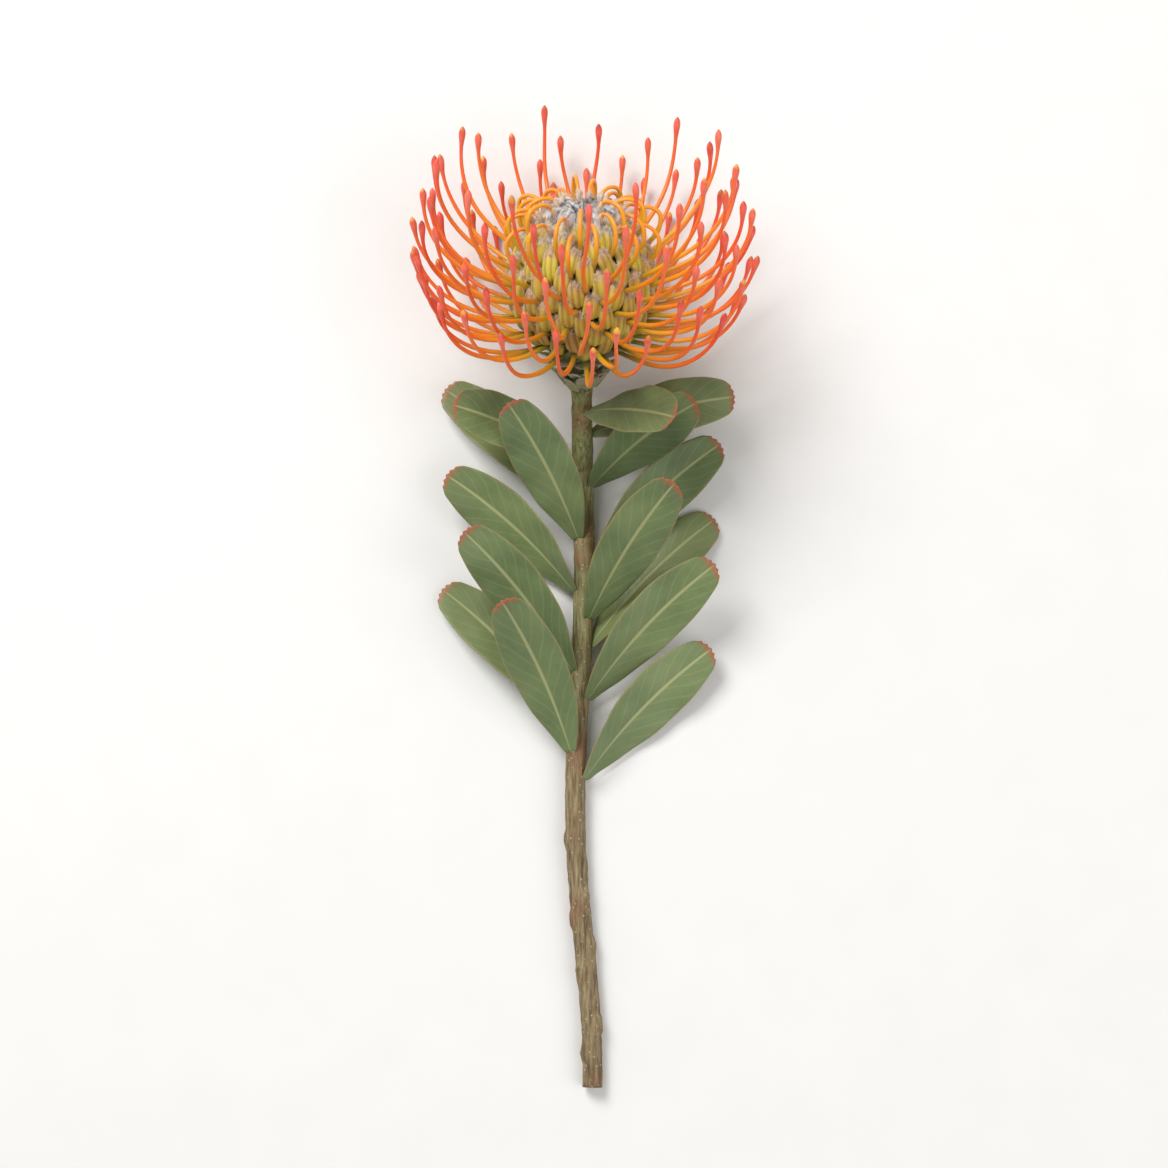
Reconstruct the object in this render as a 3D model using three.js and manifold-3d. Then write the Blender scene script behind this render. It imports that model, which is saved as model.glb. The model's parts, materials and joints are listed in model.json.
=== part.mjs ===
// A cut pincushion protea lying on a table: one flower head on a leafy stem.
// Millimetres, +Z up, origin under the middle of the flower, head towards +Y, cut end towards -Y.
// The head is laid out in its own frame, with its axis along +Z and its base at the origin,
// and is then tipped back until the axis rises HEAD_RISE degrees from the table.

import * as THREE from 'three';
import { mergeVertices } from 'three/addons/utils/BufferGeometryUtils.js';
import Module from 'manifold-3d';

const wasm = await Module();
wasm.setup();

// Pose of the head and the stem on the table.
const HEAD_RISE = 30;
const HEAD_BASE = new THREE.Vector3(-0.8, 87, 31);
const TABLE_SOFTNESS = 2.2;

// Stem: its length below the head and the radius along it.
const STEM_LENGTH = 268;
const STEM_RADIUS = 3.6;
const STEM_SIDES = 9;
const NECK_STRAIGHT = 14;
const NECK_LENGTH = 72;
const STEM_RISE = 0.58;
const STEM_SWAY = 4;
const STEM_BENDS = 2.6;
const STEM_STRIDE = 2;
const STEM_RING_SPACING = 18;
const STEM_TAPER = [1.06, 0.98];
const NECK_FLARE_LENGTH = 23;
const NECK_TOP_RADIUS = 6.2;

// Receptacle: the swollen end of the stem that the florets sit on.
const RECEPTACLE_RADIUS = 12;
const RECEPTACLE_HALF = 16;
const RECEPTACLE_MIDDLE = 15;
const STEM_END_HEIGHTS = [-17, -11, -5, 0, 3, 8, 15, 22, 27, 30, 31];
const STEM_TIP_RADIUS = 1;

// Dome: the surface that the rolled perianths fill.
const DOME_RADIUS = 25.5;
const DOME_HALF = 27.5;
const DOME_MIDDLE = 24;

// Florets: they climb the dome in a spiral, from the lowest latitude to the crown.
const ROWS = 13;
const FLORETS_PER_ROW = 10;
const CROWN_BUDS = 8;
const OPEN_FLORETS = ROWS * FLORETS_PER_ROW;
const FLORETS = OPEN_FLORETS + CROWN_BUDS;
const GOLDEN_ANGLE = 137.508;
const LOWEST_SINE = -0.75;
const UNDERSIDE_TILT = 0.45;
const HIGHEST_SINE = 0.965;
const FIRST_LOOP = 100;

// Style: the long pin of a floret, with a knob at its tip.
const STYLE_LENGTH = 51;
const STYLE_SIDES = 3;
const STYLE_ROOT_DROP = 2.2;
const STYLE_EXIT_DROP = 5;
const STYLE_BASE_RADIUS = 0.78;
const STYLE_NECK_RADIUS = 0.65;
const KNOB_RADIUS = 1.25;
const KNOB_LENGTH = 6;
const KNOB_BELLY = 0.5;
// Its direction over the level, where it leaves the dome and at its tip: lowest floret, crown.
const STYLE_FIRST_ANGLES = [-12, 63];
const STYLE_LAST_ANGLES = [72, 96];
const STYLE_LENGTH_VARIES = 0.05;
const STYLE_ANGLE_VARIES = 7;
const STYLE_TURN_VARIES = 2.5;

// Looped style: how far it bows out, and its bow as a share of that reach against a height.
const LOOP_REACH = 9;
const LOOP_REACH_VARIES = 2;
const LOOP_BOW = [[0, -5], [0.55, -3.6], [0.95, 0.5], [0.9, 4.5], [0.6, 7.4], [0.2, 7.8], [-0.1, 5.9]];

// Perianth: the rolled strip of a floret.
const PERIANTH_WIDTH = 4.4;
const CROWN_WIDTH_SHARE = 0.8;
const FOOT_WIDTH_SHARE = 0.75;
const FOOT_CLIMB = 0.25;
const PERIANTH_THICKNESS = 0.85;
const PERIANTH_CURL = [[-4, -2.3], [-0.6, -2.2], [-0.2, 2.2], [-2.8, 3.5]];
const PERIANTH_SHARES = [0.45, 0.9, 1, 0.5];

// Crown bud: radius and height along its line, and its half width there.
const BUD_LINE = [[3.4, 31.8], [5.1, 40], [6.6, 46.2], [6.7, 49.6], [5.4, 51], [3.4, 49]];
const BUD_HALF_WIDTHS = [0.5, 0.9, 1.15, 1.25, 1.15, 0.5];
const BUD_SIDES = 6;
const BUD_HEIGHT_VARIES = 0.5;

// Base strips: each joins the florets of one row along the receptacle.
const STYLE_STRIP_HEIGHT = 0.85;
const PERIANTH_STRIP_HEIGHT = 1.95;
const STRIP_RADIUS = 0.5;
const ROOT_RADIUS = 0.24;

// Bracts: three whorls of small scales that wrap the base of the head.
const BRACT_WHORLS = 3;
const BRACTS_PER_WHORL = 8;
const BRACT_LENGTH = 9.5;
const BRACT_WIDTH = 4.6;
const BRACT_THICKNESS = 0.8;
const BRACT_SHARES = [0.5, 1, 0.75, 0.12];
const BRACT_RING_HEIGHTS = [-15, -4.6];
const BRACT_FIRST_ANGLES = [62, 14];
const BRACT_LAST_ANGLES = [35, 8];
const BRACT_RING_THICKNESS = 0.8;
const BRACT_RING_DEPTH = 1;

// Leaves: they climb the upper part of the stem.
const LEAVES = 15;
const FIRST_LEAF_STATION = 24;
const LEAF_SPACING = 9.6;
const LEAF_LENGTH = 66;
const LEAF_WIDTH = 21;
const LEAF_THICKNESS = 0.9;
const LEAF_SHARES = [0.2, 0.62, 0.9, 1, 0.98, 0.82, 0.36];
const LEAF_FIRST_TURN = 5;
const LEAST_SPREAD = 0.55;
// Angles off the stem at the foot and the tip of a leaf: the topmost, and those lower down.
const LEAF_FOOT_ANGLES = [70, 36];
const LEAF_TIP_ANGLES = [86, 56];
const LEAF_ANGLE_VARIES = 5;
const LEAF_LENGTH_VARIES = 0.06;
const LEAF_LIFTS = [-0.1, 0.8];
const LEAF_COLUMNS = 2;
const LEAF_LEVELLING = [0.35, 0.95];
const FULL_SIZE_LEAF = 4.7;
const TOP_LEAF_LENGTH = 0.72;

const GAP = 0.35;

const DEGREE = Math.PI / 180;
const Z_AXIS = new THREE.Vector3(0, 0, 1);

const surfaces = {
  style: new THREE.MeshStandardMaterial({ color: 0xf58220, roughness: 0.45, metalness: 0 }),
  perianth: new THREE.MeshStandardMaterial({ color: 0xa9a03c, roughness: 0.7, metalness: 0 }),
  bud: new THREE.MeshStandardMaterial({ color: 0xb0a8a4, roughness: 0.9, metalness: 0 }),
  bract: new THREE.MeshStandardMaterial({ color: 0x7d8450, roughness: 0.8, metalness: 0 }),
  leaf: new THREE.MeshStandardMaterial({ color: 0x6d8450, roughness: 0.6, metalness: 0 }),
  stem: new THREE.MeshStandardMaterial({ color: 0x7c6a46, roughness: 0.8, metalness: 0 }),
};

// Small repeatable irregularity from -1 to 1 for piece number i.
function irregular(i, kind) {
  const wave = Math.sin(i * 12.9898 + kind * 78.233) * 43758.5453;
  return 2 * (wave - Math.floor(wave)) - 1;
}

function mix(a, b, share) {
  return a + (b - a) * share;
}

// Bend a unit primitive along a spine. The primitive's y runs from -0.5 to 0.5 in as many
// steps as the spine has, and its x and z become the side and the thickness.
function bend(primitive, spine, sides, halfWidths, halfThicknesses) {
  const steps = spine.length - 1;
  const place = primitive.getAttribute('position');
  const tangents = spine.map((point, j) =>
    spine[Math.min(j + 1, steps)].clone().sub(spine[Math.max(j - 1, 0)]).normalize());
  const across = tangents.map((tangent, j) =>
    sides[j].clone().addScaledVector(tangent, -sides[j].dot(tangent)).normalize());
  const above = tangents.map((tangent, j) => across[j].clone().cross(tangent));
  for (let v = 0; v < place.count; v += 1) {
    const j = Math.round((place.getY(v) + 0.5) * steps);
    const point = spine[j].clone()
      .addScaledVector(across[j], place.getX(v) * halfWidths[j])
      .addScaledVector(above[j], place.getZ(v) * halfThicknesses[j]);
    place.setXYZ(v, point.x, point.y, point.z);
  }
  return closed(primitive);
}

function closed(geometry) {
  geometry.deleteAttribute('normal');
  geometry.deleteAttribute('uv');
  return mergeVertices(geometry);
}

function rod(spine, sides, radii, count) {
  const primitive = new THREE.CylinderGeometry(1, 1, 1, count, spine.length - 1);
  return bend(primitive, spine, sides, radii, radii);
}

function strap(spine, sides, halfWidths, halfThicknesses, columns = 1) {
  const primitive = new THREE.BoxGeometry(2, 1, 2, columns, spine.length - 1, 1);
  return bend(primitive, spine, sides, halfWidths, halfThicknesses);
}

function solid(geometry) {
  return new wasm.Manifold(new wasm.Mesh({
    numProp: 3,
    vertProperties: new Float32Array(geometry.getAttribute('position').array),
    triVerts: new Uint32Array(geometry.index.array),
  }));
}

function joined(geometries) {
  const whole = geometries.map(solid).reduce((sum, next) => sum.add(next));
  const mesh = whole.getMesh();
  const geometry = new THREE.BufferGeometry();
  geometry.setAttribute('position', new THREE.BufferAttribute(mesh.vertProperties, 3));
  geometry.setIndex(new THREE.BufferAttribute(mesh.triVerts, 1));
  return geometry;
}

function named(name, geometry, material) {
  const mesh = new THREE.Mesh(geometry, material);
  mesh.name = name;
  return mesh;
}

function numbered(name, number) {
  return `${name}_${String(number).padStart(2, '0')}`;
}

// Heights over the table are softened so that what would sink into it lies on it instead.
function softHeight(height, clearance) {
  const over = (height - clearance) / TABLE_SOFTNESS;
  return clearance + TABLE_SOFTNESS * (over > 20 ? over : Math.log1p(Math.exp(over)));
}

const headUp = new THREE.Vector3(0, -Math.cos(HEAD_RISE * DEGREE), Math.sin(HEAD_RISE * DEGREE));

function laidInHead(point, clearance) {
  const height = point.dot(headUp) + HEAD_BASE.z;
  return point.clone().addScaledVector(headUp, softHeight(height, clearance) - height);
}

// A floret's place: its share of the climb, its azimuth and the dome's directions there.
function floretPlace(i) {
  const climb = (i + 0.5) / FLORETS;
  const sine = mix(LOWEST_SINE, HIGHEST_SINE, climb);
  const cosine = Math.sqrt(1 - sine * sine);
  const azimuth = i * GOLDEN_ANGLE * DEGREE;
  const facing = Math.atan2(DOME_RADIUS * sine, DOME_HALF * cosine) * (sine < 0 ? UNDERSIDE_TILT : 1);
  return {
    climb,
    azimuth,
    dome: [DOME_RADIUS * cosine, DOME_MIDDLE + DOME_HALF * sine],
    root: [RECEPTACLE_RADIUS * cosine, RECEPTACLE_MIDDLE + RECEPTACLE_HALF * sine],
    normal: [Math.cos(facing), Math.sin(facing)],
    upward: [-Math.sin(facing), Math.cos(facing)],
  };
}

// A point from an anchor in the floret's own half-plane, outward and up along the dome.
function offset(anchor, place, outward, upward) {
  return [
    anchor[0] + place.normal[0] * outward + place.upward[0] * upward,
    anchor[1] + place.normal[1] * outward + place.upward[1] * upward,
  ];
}

function inHead([radius, height], azimuth) {
  return new THREE.Vector3(radius * Math.cos(azimuth), radius * Math.sin(azimuth), height);
}

function sideways(azimuth) {
  return new THREE.Vector3(-Math.sin(azimuth), Math.cos(azimuth), 0);
}

// An open style leaves the dome under its own perianth, runs out and then turns up.
function openStylePath(i, place) {
  const exit = offset(place.dome, place, 0, -STYLE_EXIT_DROP);
  const length = STYLE_LENGTH * (1 + STYLE_LENGTH_VARIES * irregular(i, 1)) - KNOB_LENGTH;
  const first = mix(...STYLE_FIRST_ANGLES, place.climb ** 1.6);
  const last = mix(...STYLE_LAST_ANGLES, place.climb) + STYLE_ANGLE_VARIES * irregular(i, 2);
  const drift = STYLE_TURN_VARIES * irregular(i, 3) * DEGREE;
  const steps = 4;
  const path = [
    { at: offset(place.root, place, STYLE_STRIP_HEIGHT, -STYLE_ROOT_DROP), turn: 0 },
    { at: exit, turn: 0 },
  ];
  let [radius, height] = exit;
  for (let step = 1; step <= steps; step += 1) {
    const share = (step - 0.5) / steps;
    const angle = mix(first, last, share ** 1.4) * DEGREE;
    radius += Math.cos(angle) * length / steps;
    height += Math.sin(angle) * length / steps;
    path.push({ at: [radius, height], turn: drift * share });
  }
  const tip = last * DEGREE;
  const knob = [radius + Math.cos(tip) * KNOB_LENGTH, height + Math.sin(tip) * KNOB_LENGTH];
  const belly = [mix(radius, knob[0], KNOB_BELLY), mix(height, knob[1], KNOB_BELLY)];
  path.push({ at: belly, turn: drift });
  path.push({ at: knob, turn: drift });
  return path;
}

// A looped style is still caught by the top of its perianth, so it bows out and comes back.
function loopedStylePath(i, place) {
  const reach = LOOP_REACH + LOOP_REACH_VARIES * irregular(i, 4);
  const bow = LOOP_BOW.map(([share, upward]) => offset(place.dome, place, share * reach, upward));
  const root = offset(place.root, place, STYLE_STRIP_HEIGHT, -STYLE_ROOT_DROP);
  return [root, ...bow].map((at) => ({ at, turn: 0 }));
}

function styleRadii(count, looped) {
  const radii = Array.from({ length: count }, (_, j) =>
    mix(STYLE_BASE_RADIUS, STYLE_NECK_RADIUS, j / (count - 1)));
  radii[0] = ROOT_RADIUS;
  if (!looped) {
    radii[count - 2] = KNOB_RADIUS;
    radii[count - 1] = 0.3 * KNOB_RADIUS;
  }
  return radii;
}

function style(i) {
  const place = floretPlace(i);
  const looped = i >= FIRST_LOOP;
  const path = looped ? loopedStylePath(i, place) : openStylePath(i, place);
  const spine = path.map(({ at, turn }) => laidInHead(inHead(at, place.azimuth + turn), KNOB_RADIUS));
  const sides = path.map(({ turn }) => sideways(place.azimuth + turn));
  return rod(spine, sides, styleRadii(path.length, looped), STYLE_SIDES);
}

// A perianth comes out of the receptacle, rises over the dome's surface and curls in at the top.
function perianth(i) {
  const place = floretPlace(i);
  const root = offset(place.root, place, PERIANTH_STRIP_HEIGHT, 0);
  const path = PERIANTH_CURL.map(([outward, upward]) => offset(place.dome, place, outward, upward));
  path.unshift(root);
  const foot = mix(FOOT_WIDTH_SHARE, 1, Math.min(1, place.climb / FOOT_CLIMB));
  const width = PERIANTH_WIDTH * foot * mix(1, CROWN_WIDTH_SHARE, place.climb ** 3);
  return strap(
    path.map((at) => inHead(at, place.azimuth)),
    path.map(() => sideways(place.azimuth)),
    [ROOT_RADIUS, ...PERIANTH_SHARES.map((share) => 0.5 * width * share)],
    [ROOT_RADIUS, ...PERIANTH_SHARES.map(() => 0.5 * PERIANTH_THICKNESS)],
  );
}

// The strip under one row, a little past the first and the last root.
function baseStrip(row, height, drop) {
  const spine = [];
  for (let k = 0; k < FLORETS_PER_ROW; k += 1) {
    const place = floretPlace(row + ROWS * k);
    spine.push(inHead(offset(place.root, place, height, -drop), place.azimuth));
  }
  const last = FLORETS_PER_ROW - 1;
  spine[0].addScaledVector(spine[1].clone().sub(spine[0]).normalize(), -STRIP_RADIUS);
  spine[last].addScaledVector(spine[last].clone().sub(spine[last - 1]).normalize(), STRIP_RADIUS);
  return rod(spine, spine.map(() => Z_AXIS), spine.map(() => STRIP_RADIUS), 3);
}

function rowMembers(row) {
  return Array.from({ length: FLORETS_PER_ROW }, (_, k) => row + ROWS * k);
}

function styleRow(row) {
  const strip = baseStrip(row, STYLE_STRIP_HEIGHT, STYLE_ROOT_DROP);
  const members = rowMembers(row).map(style);
  return named(numbered('style_row', row + 1), joined([strip, ...members]), surfaces.style);
}

function perianthRow(row) {
  const strip = baseStrip(row, PERIANTH_STRIP_HEIGHT, 0);
  const members = rowMembers(row).map(perianth);
  return named(numbered('perianth_row', row + 1), joined([strip, ...members]), surfaces.perianth);
}

// An unopened floret at the crown: a stalk that rises and bows its woolly head to the middle.
function crownBud(number) {
  const azimuth = number * 360 / CROWN_BUDS * DEGREE;
  const lean = BUD_HEIGHT_VARIES * irregular(number, 5);
  const spine = BUD_LINE.map(([radius, height]) => inHead([radius, height + lean], azimuth));
  const sides = BUD_LINE.map(() => sideways(azimuth));
  return named(`crown_bud_${number + 1}`, rod(spine, sides, BUD_HALF_WIDTHS, BUD_SIDES), surfaces.bud);
}

// Bracts: a thin ring round the neck with pointed scales that lean outward and upward.
function bractWhorl(whorl) {
  const rank = whorl / (BRACT_WHORLS - 1);
  const height = mix(...BRACT_RING_HEIGHTS, rank);
  const inner = neckRadius(height + BRACT_RING_DEPTH) + GAP;
  const scales = Array.from({ length: BRACTS_PER_WHORL }, (_, number) =>
    bract([inner + 0.5 * BRACT_RING_THICKNESS, height], rank, number + 0.5 * whorl));
  return named(
    `bract_whorl_${whorl + 1}`,
    joined([bractRing(inner, height), ...scales]),
    surfaces.bract,
  );
}

function bractRing(inner, height) {
  const outer = inner + BRACT_RING_THICKNESS;
  const half = 0.5 * BRACT_RING_DEPTH;
  const corners = [[inner, -half], [outer, -half], [outer, half], [inner, half], [inner, -half]];
  const ring = new THREE.LatheGeometry(corners.map((at) => new THREE.Vector2(...at)), 2 * BRACTS_PER_WHORL);
  ring.rotateX(90 * DEGREE);
  ring.translate(0, 0, height);
  return closed(ring);
}

function bract(foot, rank, number) {
  const azimuth = number * 360 / BRACTS_PER_WHORL * DEGREE;
  const first = mix(...BRACT_FIRST_ANGLES, rank);
  const last = mix(...BRACT_LAST_ANGLES, rank);
  const steps = BRACT_SHARES.length - 1;
  const path = [foot];
  for (let step = 1; step <= steps; step += 1) {
    const angle = mix(first, last, step / steps) * DEGREE;
    const [radius, height] = path[step - 1];
    path.push([
      radius + Math.cos(angle) * BRACT_LENGTH / steps,
      height + Math.sin(angle) * BRACT_LENGTH / steps,
    ]);
  }
  return strap(
    path.map((at) => inHead(at, azimuth)),
    path.map(() => sideways(azimuth)),
    BRACT_SHARES.map((share) => 0.5 * BRACT_WIDTH * share),
    BRACT_SHARES.map(() => 0.5 * BRACT_THICKNESS),
  );
}

// Radius of the stem's flared end at a height in the head's frame.
function neckRadius(height) {
  const flare = THREE.MathUtils.smoothstep(height, -NECK_FLARE_LENGTH, 0);
  return mix(STEM_RADIUS, NECK_TOP_RADIUS, flare);
}

function receptacleRadius(height) {
  const share = (height - RECEPTACLE_MIDDLE) / RECEPTACLE_HALF;
  return RECEPTACLE_RADIUS * Math.sqrt(Math.max(0, 1 - share * share));
}

// The stem's own line: from the head's base back and down, then along the table.
function stemPoint(station) {
  const point = HEAD_BASE.clone();
  for (let gone = 0; gone < station; gone += STEM_STRIDE) {
    const step = Math.min(STEM_STRIDE, station - gone);
    const angle = stemRise(gone + 0.5 * step) * DEGREE;
    point.y -= step * Math.cos(angle);
    point.z -= step * Math.sin(angle);
  }
  const swing = Math.max(0, station - NECK_STRAIGHT) / (STEM_LENGTH - NECK_STRAIGHT);
  point.x += STEM_SWAY * Math.sin(STEM_BENDS * Math.PI * swing) * swing;
  return point;
}

function stemRise(station) {
  const bent = THREE.MathUtils.smoothstep(station, NECK_STRAIGHT, NECK_STRAIGHT + NECK_LENGTH);
  return mix(HEAD_RISE, STEM_RISE, bent);
}

function stemDirection(station) {
  return stemPoint(Math.max(0, station - 1)).sub(stemPoint(station + 1)).normalize();
}

function stem() {
  const headMatrix = headFrame().matrix;
  const spine = [];
  const radii = [];
  for (let station = STEM_LENGTH; station > NECK_FLARE_LENGTH; station -= STEM_RING_SPACING) {
    spine.push(stemPoint(station));
    radii.push(stemRadius(station));
  }
  STEM_END_HEIGHTS.forEach((height) => {
    spine.push(new THREE.Vector3(0, 0, height).applyMatrix4(headMatrix));
    radii.push(Math.max(STEM_TIP_RADIUS, height > 0 ? receptacleRadius(height) : neckRadius(height)));
  });
  const sides = spine.map(() => new THREE.Vector3(1, 0, 0));
  return named('stem', rod(spine, sides, radii, STEM_SIDES), surfaces.stem);
}

function stemRadius(station) {
  return STEM_RADIUS * mix(...STEM_TAPER, station / STEM_LENGTH);
}

// A leaf leaves the stem upward, spreads to the side and comes down on the table.
function leaf(number) {
  const lower = Math.min(1, number / FULL_SIZE_LEAF);
  const station = FIRST_LEAF_STATION + LEAF_SPACING * number;
  const along = stemDirection(station);
  const turn = (number * GOLDEN_ANGLE + LEAF_FIRST_TURN) * DEGREE;
  const sideward = Math.sign(Math.sin(turn)) * Math.max(LEAST_SPREAD, Math.abs(Math.sin(turn)));
  const outward = new THREE.Vector3(sideward, 0, mix(...LEAF_LIFTS, 0.5 + 0.5 * Math.cos(turn)));
  outward.addScaledVector(along, -outward.dot(along)).normalize();
  const growth = 1 + LEAF_LENGTH_VARIES * irregular(number, 6);
  const length = LEAF_LENGTH * mix(TOP_LEAF_LENGTH, 1, lower) * growth;
  const tilt = LEAF_ANGLE_VARIES * irregular(number, 8);
  const first = (mix(...LEAF_FOOT_ANGLES, lower) + tilt) * DEGREE;
  const last = (mix(...LEAF_TIP_ANGLES, lower) + tilt) * DEGREE;
  const steps = LEAF_SHARES.length - 1;
  const foot = stemRadius(station) + GAP + LEAF_THICKNESS;
  const spine = [stemPoint(station).addScaledVector(outward, foot)];
  for (let step = 1; step <= steps; step += 1) {
    const angle = mix(first, last, (step - 0.5) / steps);
    spine.push(spine[step - 1].clone()
      .addScaledVector(outward, Math.sin(angle) * length / steps)
      .addScaledVector(along, Math.cos(angle) * length / steps));
  }
  const sides = spine.map((point, j) => leafSide(spine, j, outward, along));
  const clearance = 0.5 * LEAF_THICKNESS;
  spine.forEach((point, j) => {
    const reach = Math.abs(sides[j].z) * 0.5 * LEAF_WIDTH * LEAF_SHARES[j];
    point.z = softHeight(point.z, clearance + reach);
  });
  const halfWidths = LEAF_SHARES.map((share) => 0.5 * LEAF_WIDTH * share);
  const halfThicknesses = LEAF_SHARES.map(() => 0.5 * LEAF_THICKNESS);
  return named(
    numbered('leaf', number + 1),
    strap(spine, sides, halfWidths, halfThicknesses, LEAF_COLUMNS),
    surfaces.leaf,
  );
}

// The blade faces the stem at its foot and turns to lie flat towards its tip.
function leafSide(spine, j, outward, along) {
  const last = spine.length - 1;
  const run = spine[Math.min(j + 1, last)].clone().sub(spine[Math.max(j - 1, 0)]).normalize();
  const edge = along.clone().cross(outward);
  const level = Z_AXIS.clone().cross(run);
  if (level.dot(edge) < 0) level.negate();
  return edge.lerp(level, mix(...LEAF_LEVELLING, j / last)).normalize();
}

function headFrame() {
  const frame = new THREE.Group();
  frame.position.copy(HEAD_BASE);
  frame.rotation.x = (HEAD_RISE - 90) * DEGREE;
  frame.updateMatrix();
  return frame;
}

const head = headFrame();
for (let row = 0; row < ROWS; row += 1) {
  head.add(styleRow(row));
  head.add(perianthRow(row));
}
for (let number = 0; number < CROWN_BUDS; number += 1) {
  head.add(crownBud(number));
}
for (let whorl = 0; whorl < BRACT_WHORLS; whorl += 1) {
  head.add(bractWhorl(whorl));
}

const flower = new THREE.Group();
flower.add(head, stem());
for (let number = 0; number < LEAVES; number += 1) {
  flower.add(leaf(number));
}

export default flower;
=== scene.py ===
# A cut pincushion protea lying on a pale table, seen from above.
# Lengths are in millimetres until a piece is placed, which scales it to metres.

import json
import math
import random

import bpy
from mathutils import Matrix, Vector

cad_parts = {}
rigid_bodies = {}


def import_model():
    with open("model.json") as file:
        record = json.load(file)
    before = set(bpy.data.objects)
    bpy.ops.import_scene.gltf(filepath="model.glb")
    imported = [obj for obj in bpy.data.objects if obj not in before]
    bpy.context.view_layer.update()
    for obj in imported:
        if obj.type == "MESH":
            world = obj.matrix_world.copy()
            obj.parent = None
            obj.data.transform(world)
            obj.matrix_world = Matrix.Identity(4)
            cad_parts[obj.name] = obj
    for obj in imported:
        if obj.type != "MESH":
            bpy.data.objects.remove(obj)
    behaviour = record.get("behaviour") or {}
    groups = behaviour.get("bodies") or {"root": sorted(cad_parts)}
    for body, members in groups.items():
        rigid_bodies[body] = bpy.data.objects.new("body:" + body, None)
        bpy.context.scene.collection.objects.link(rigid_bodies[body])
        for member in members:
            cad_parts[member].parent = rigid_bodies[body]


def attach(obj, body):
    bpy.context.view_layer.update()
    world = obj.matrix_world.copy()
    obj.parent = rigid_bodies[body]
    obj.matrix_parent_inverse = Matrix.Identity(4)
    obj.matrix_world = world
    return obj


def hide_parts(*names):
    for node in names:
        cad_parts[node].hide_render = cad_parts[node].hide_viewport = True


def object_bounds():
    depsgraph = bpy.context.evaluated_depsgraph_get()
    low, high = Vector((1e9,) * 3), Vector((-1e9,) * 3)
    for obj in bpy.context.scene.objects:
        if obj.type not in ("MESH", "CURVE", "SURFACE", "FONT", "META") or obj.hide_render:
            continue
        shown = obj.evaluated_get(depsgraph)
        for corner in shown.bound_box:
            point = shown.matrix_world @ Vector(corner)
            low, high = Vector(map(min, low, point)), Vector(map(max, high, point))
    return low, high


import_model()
CAD_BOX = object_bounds()

MILLIMETRE = 0.001
GOLDEN_ANGLE = 137.508

# Pose of the head and the table, as the frame has them
HEAD_RISE = 30
HEAD_BASE = Vector((-0.8, 87, 31))
TABLE_SOFTNESS = 2.2
FAR_ABOVE = 20

# Stem, as the frame has it
STEM_LENGTH = 268
STEM_RADIUS = 3.6
STEM_TAPER = (1.06, 0.98)
NECK_STRAIGHT = 14
NECK_LENGTH = 72
STEM_RISE = 0.58
STEM_SWAY = 4
STEM_BENDS = 2.6
STEM_STRIDE = 2
NECK_FLARE_LENGTH = 23
NECK_TOP_RADIUS = 6.2
RECEPTACLE_RADIUS = 12
RECEPTACLE_HALF = 16
RECEPTACLE_MIDDLE = 15

# Florets, as the frame has them
DOME_RADIUS = 25.5
DOME_HALF = 27.5
DOME_MIDDLE = 24
ROWS = 13
FLORETS_PER_ROW = 10
CROWN_BUDS = 8
FLORETS = ROWS * FLORETS_PER_ROW + CROWN_BUDS
LOWEST_SINE = -0.75
UNDERSIDE_TILT = 0.45
HIGHEST_SINE = 0.965
FIRST_LOOP = 100
STYLE_LENGTH = 51
STYLE_STRIP_HEIGHT = 0.85
STYLE_ROOT_DROP = 2.2
STYLE_EXIT_DROP = 5
KNOB_RADIUS = 1.25
KNOB_LENGTH = 6
STYLE_FIRST_ANGLES = (-12, 63)
STYLE_LAST_ANGLES = (72, 96)
FIRST_ANGLE_DELAY = 1.6
STYLE_CURL_DELAY = 1.4
STYLE_LENGTH_VARIES = 0.05
STYLE_ANGLE_VARIES = 7
STYLE_TURN_VARIES = 2.5
LOOP_REACH = 9
LOOP_REACH_VARIES = 2
LOOP_BOW = ((0, -5), (0.55, -3.6), (0.95, 0.5), (0.9, 4.5), (0.6, 7.4), (0.2, 7.8), (-0.1, 5.9))
BUD_HEIGHT_VARIES = 0.5

# Bracts and leaves, as the frame has them
BRACT_WHORLS = 3
BRACT_LENGTH = 9.5
BRACT_RING_HEIGHTS = (-15, -4.6)
BRACT_RING_THICKNESS = 0.8
BRACT_FIRST_ANGLES = (62, 14)
BRACT_LAST_ANGLES = (35, 8)
LEAVES = 15
FIRST_LEAF_STATION = 24
LEAF_SPACING = 9.6
LEAF_LENGTH = 66
LEAF_WIDTH = 21
LEAF_THICKNESS = 0.9
LEAF_FOOT_DEPTH = 0.9
LEAF_FIRST_TURN = 5
LEAST_SPREAD = 0.55
LEAF_FOOT_ANGLES = (70, 36)
LEAF_TIP_ANGLES = (86, 56)
LEAF_ANGLE_VARIES = 5
LEAF_LENGTH_VARIES = 0.06
LEAF_LIFTS = (-0.1, 0.8)
LEAF_LEVELLING = (0.35, 0.95)
FULL_SIZE_LEAF = 4.7
TOP_LEAF_LENGTH = 0.72

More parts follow.
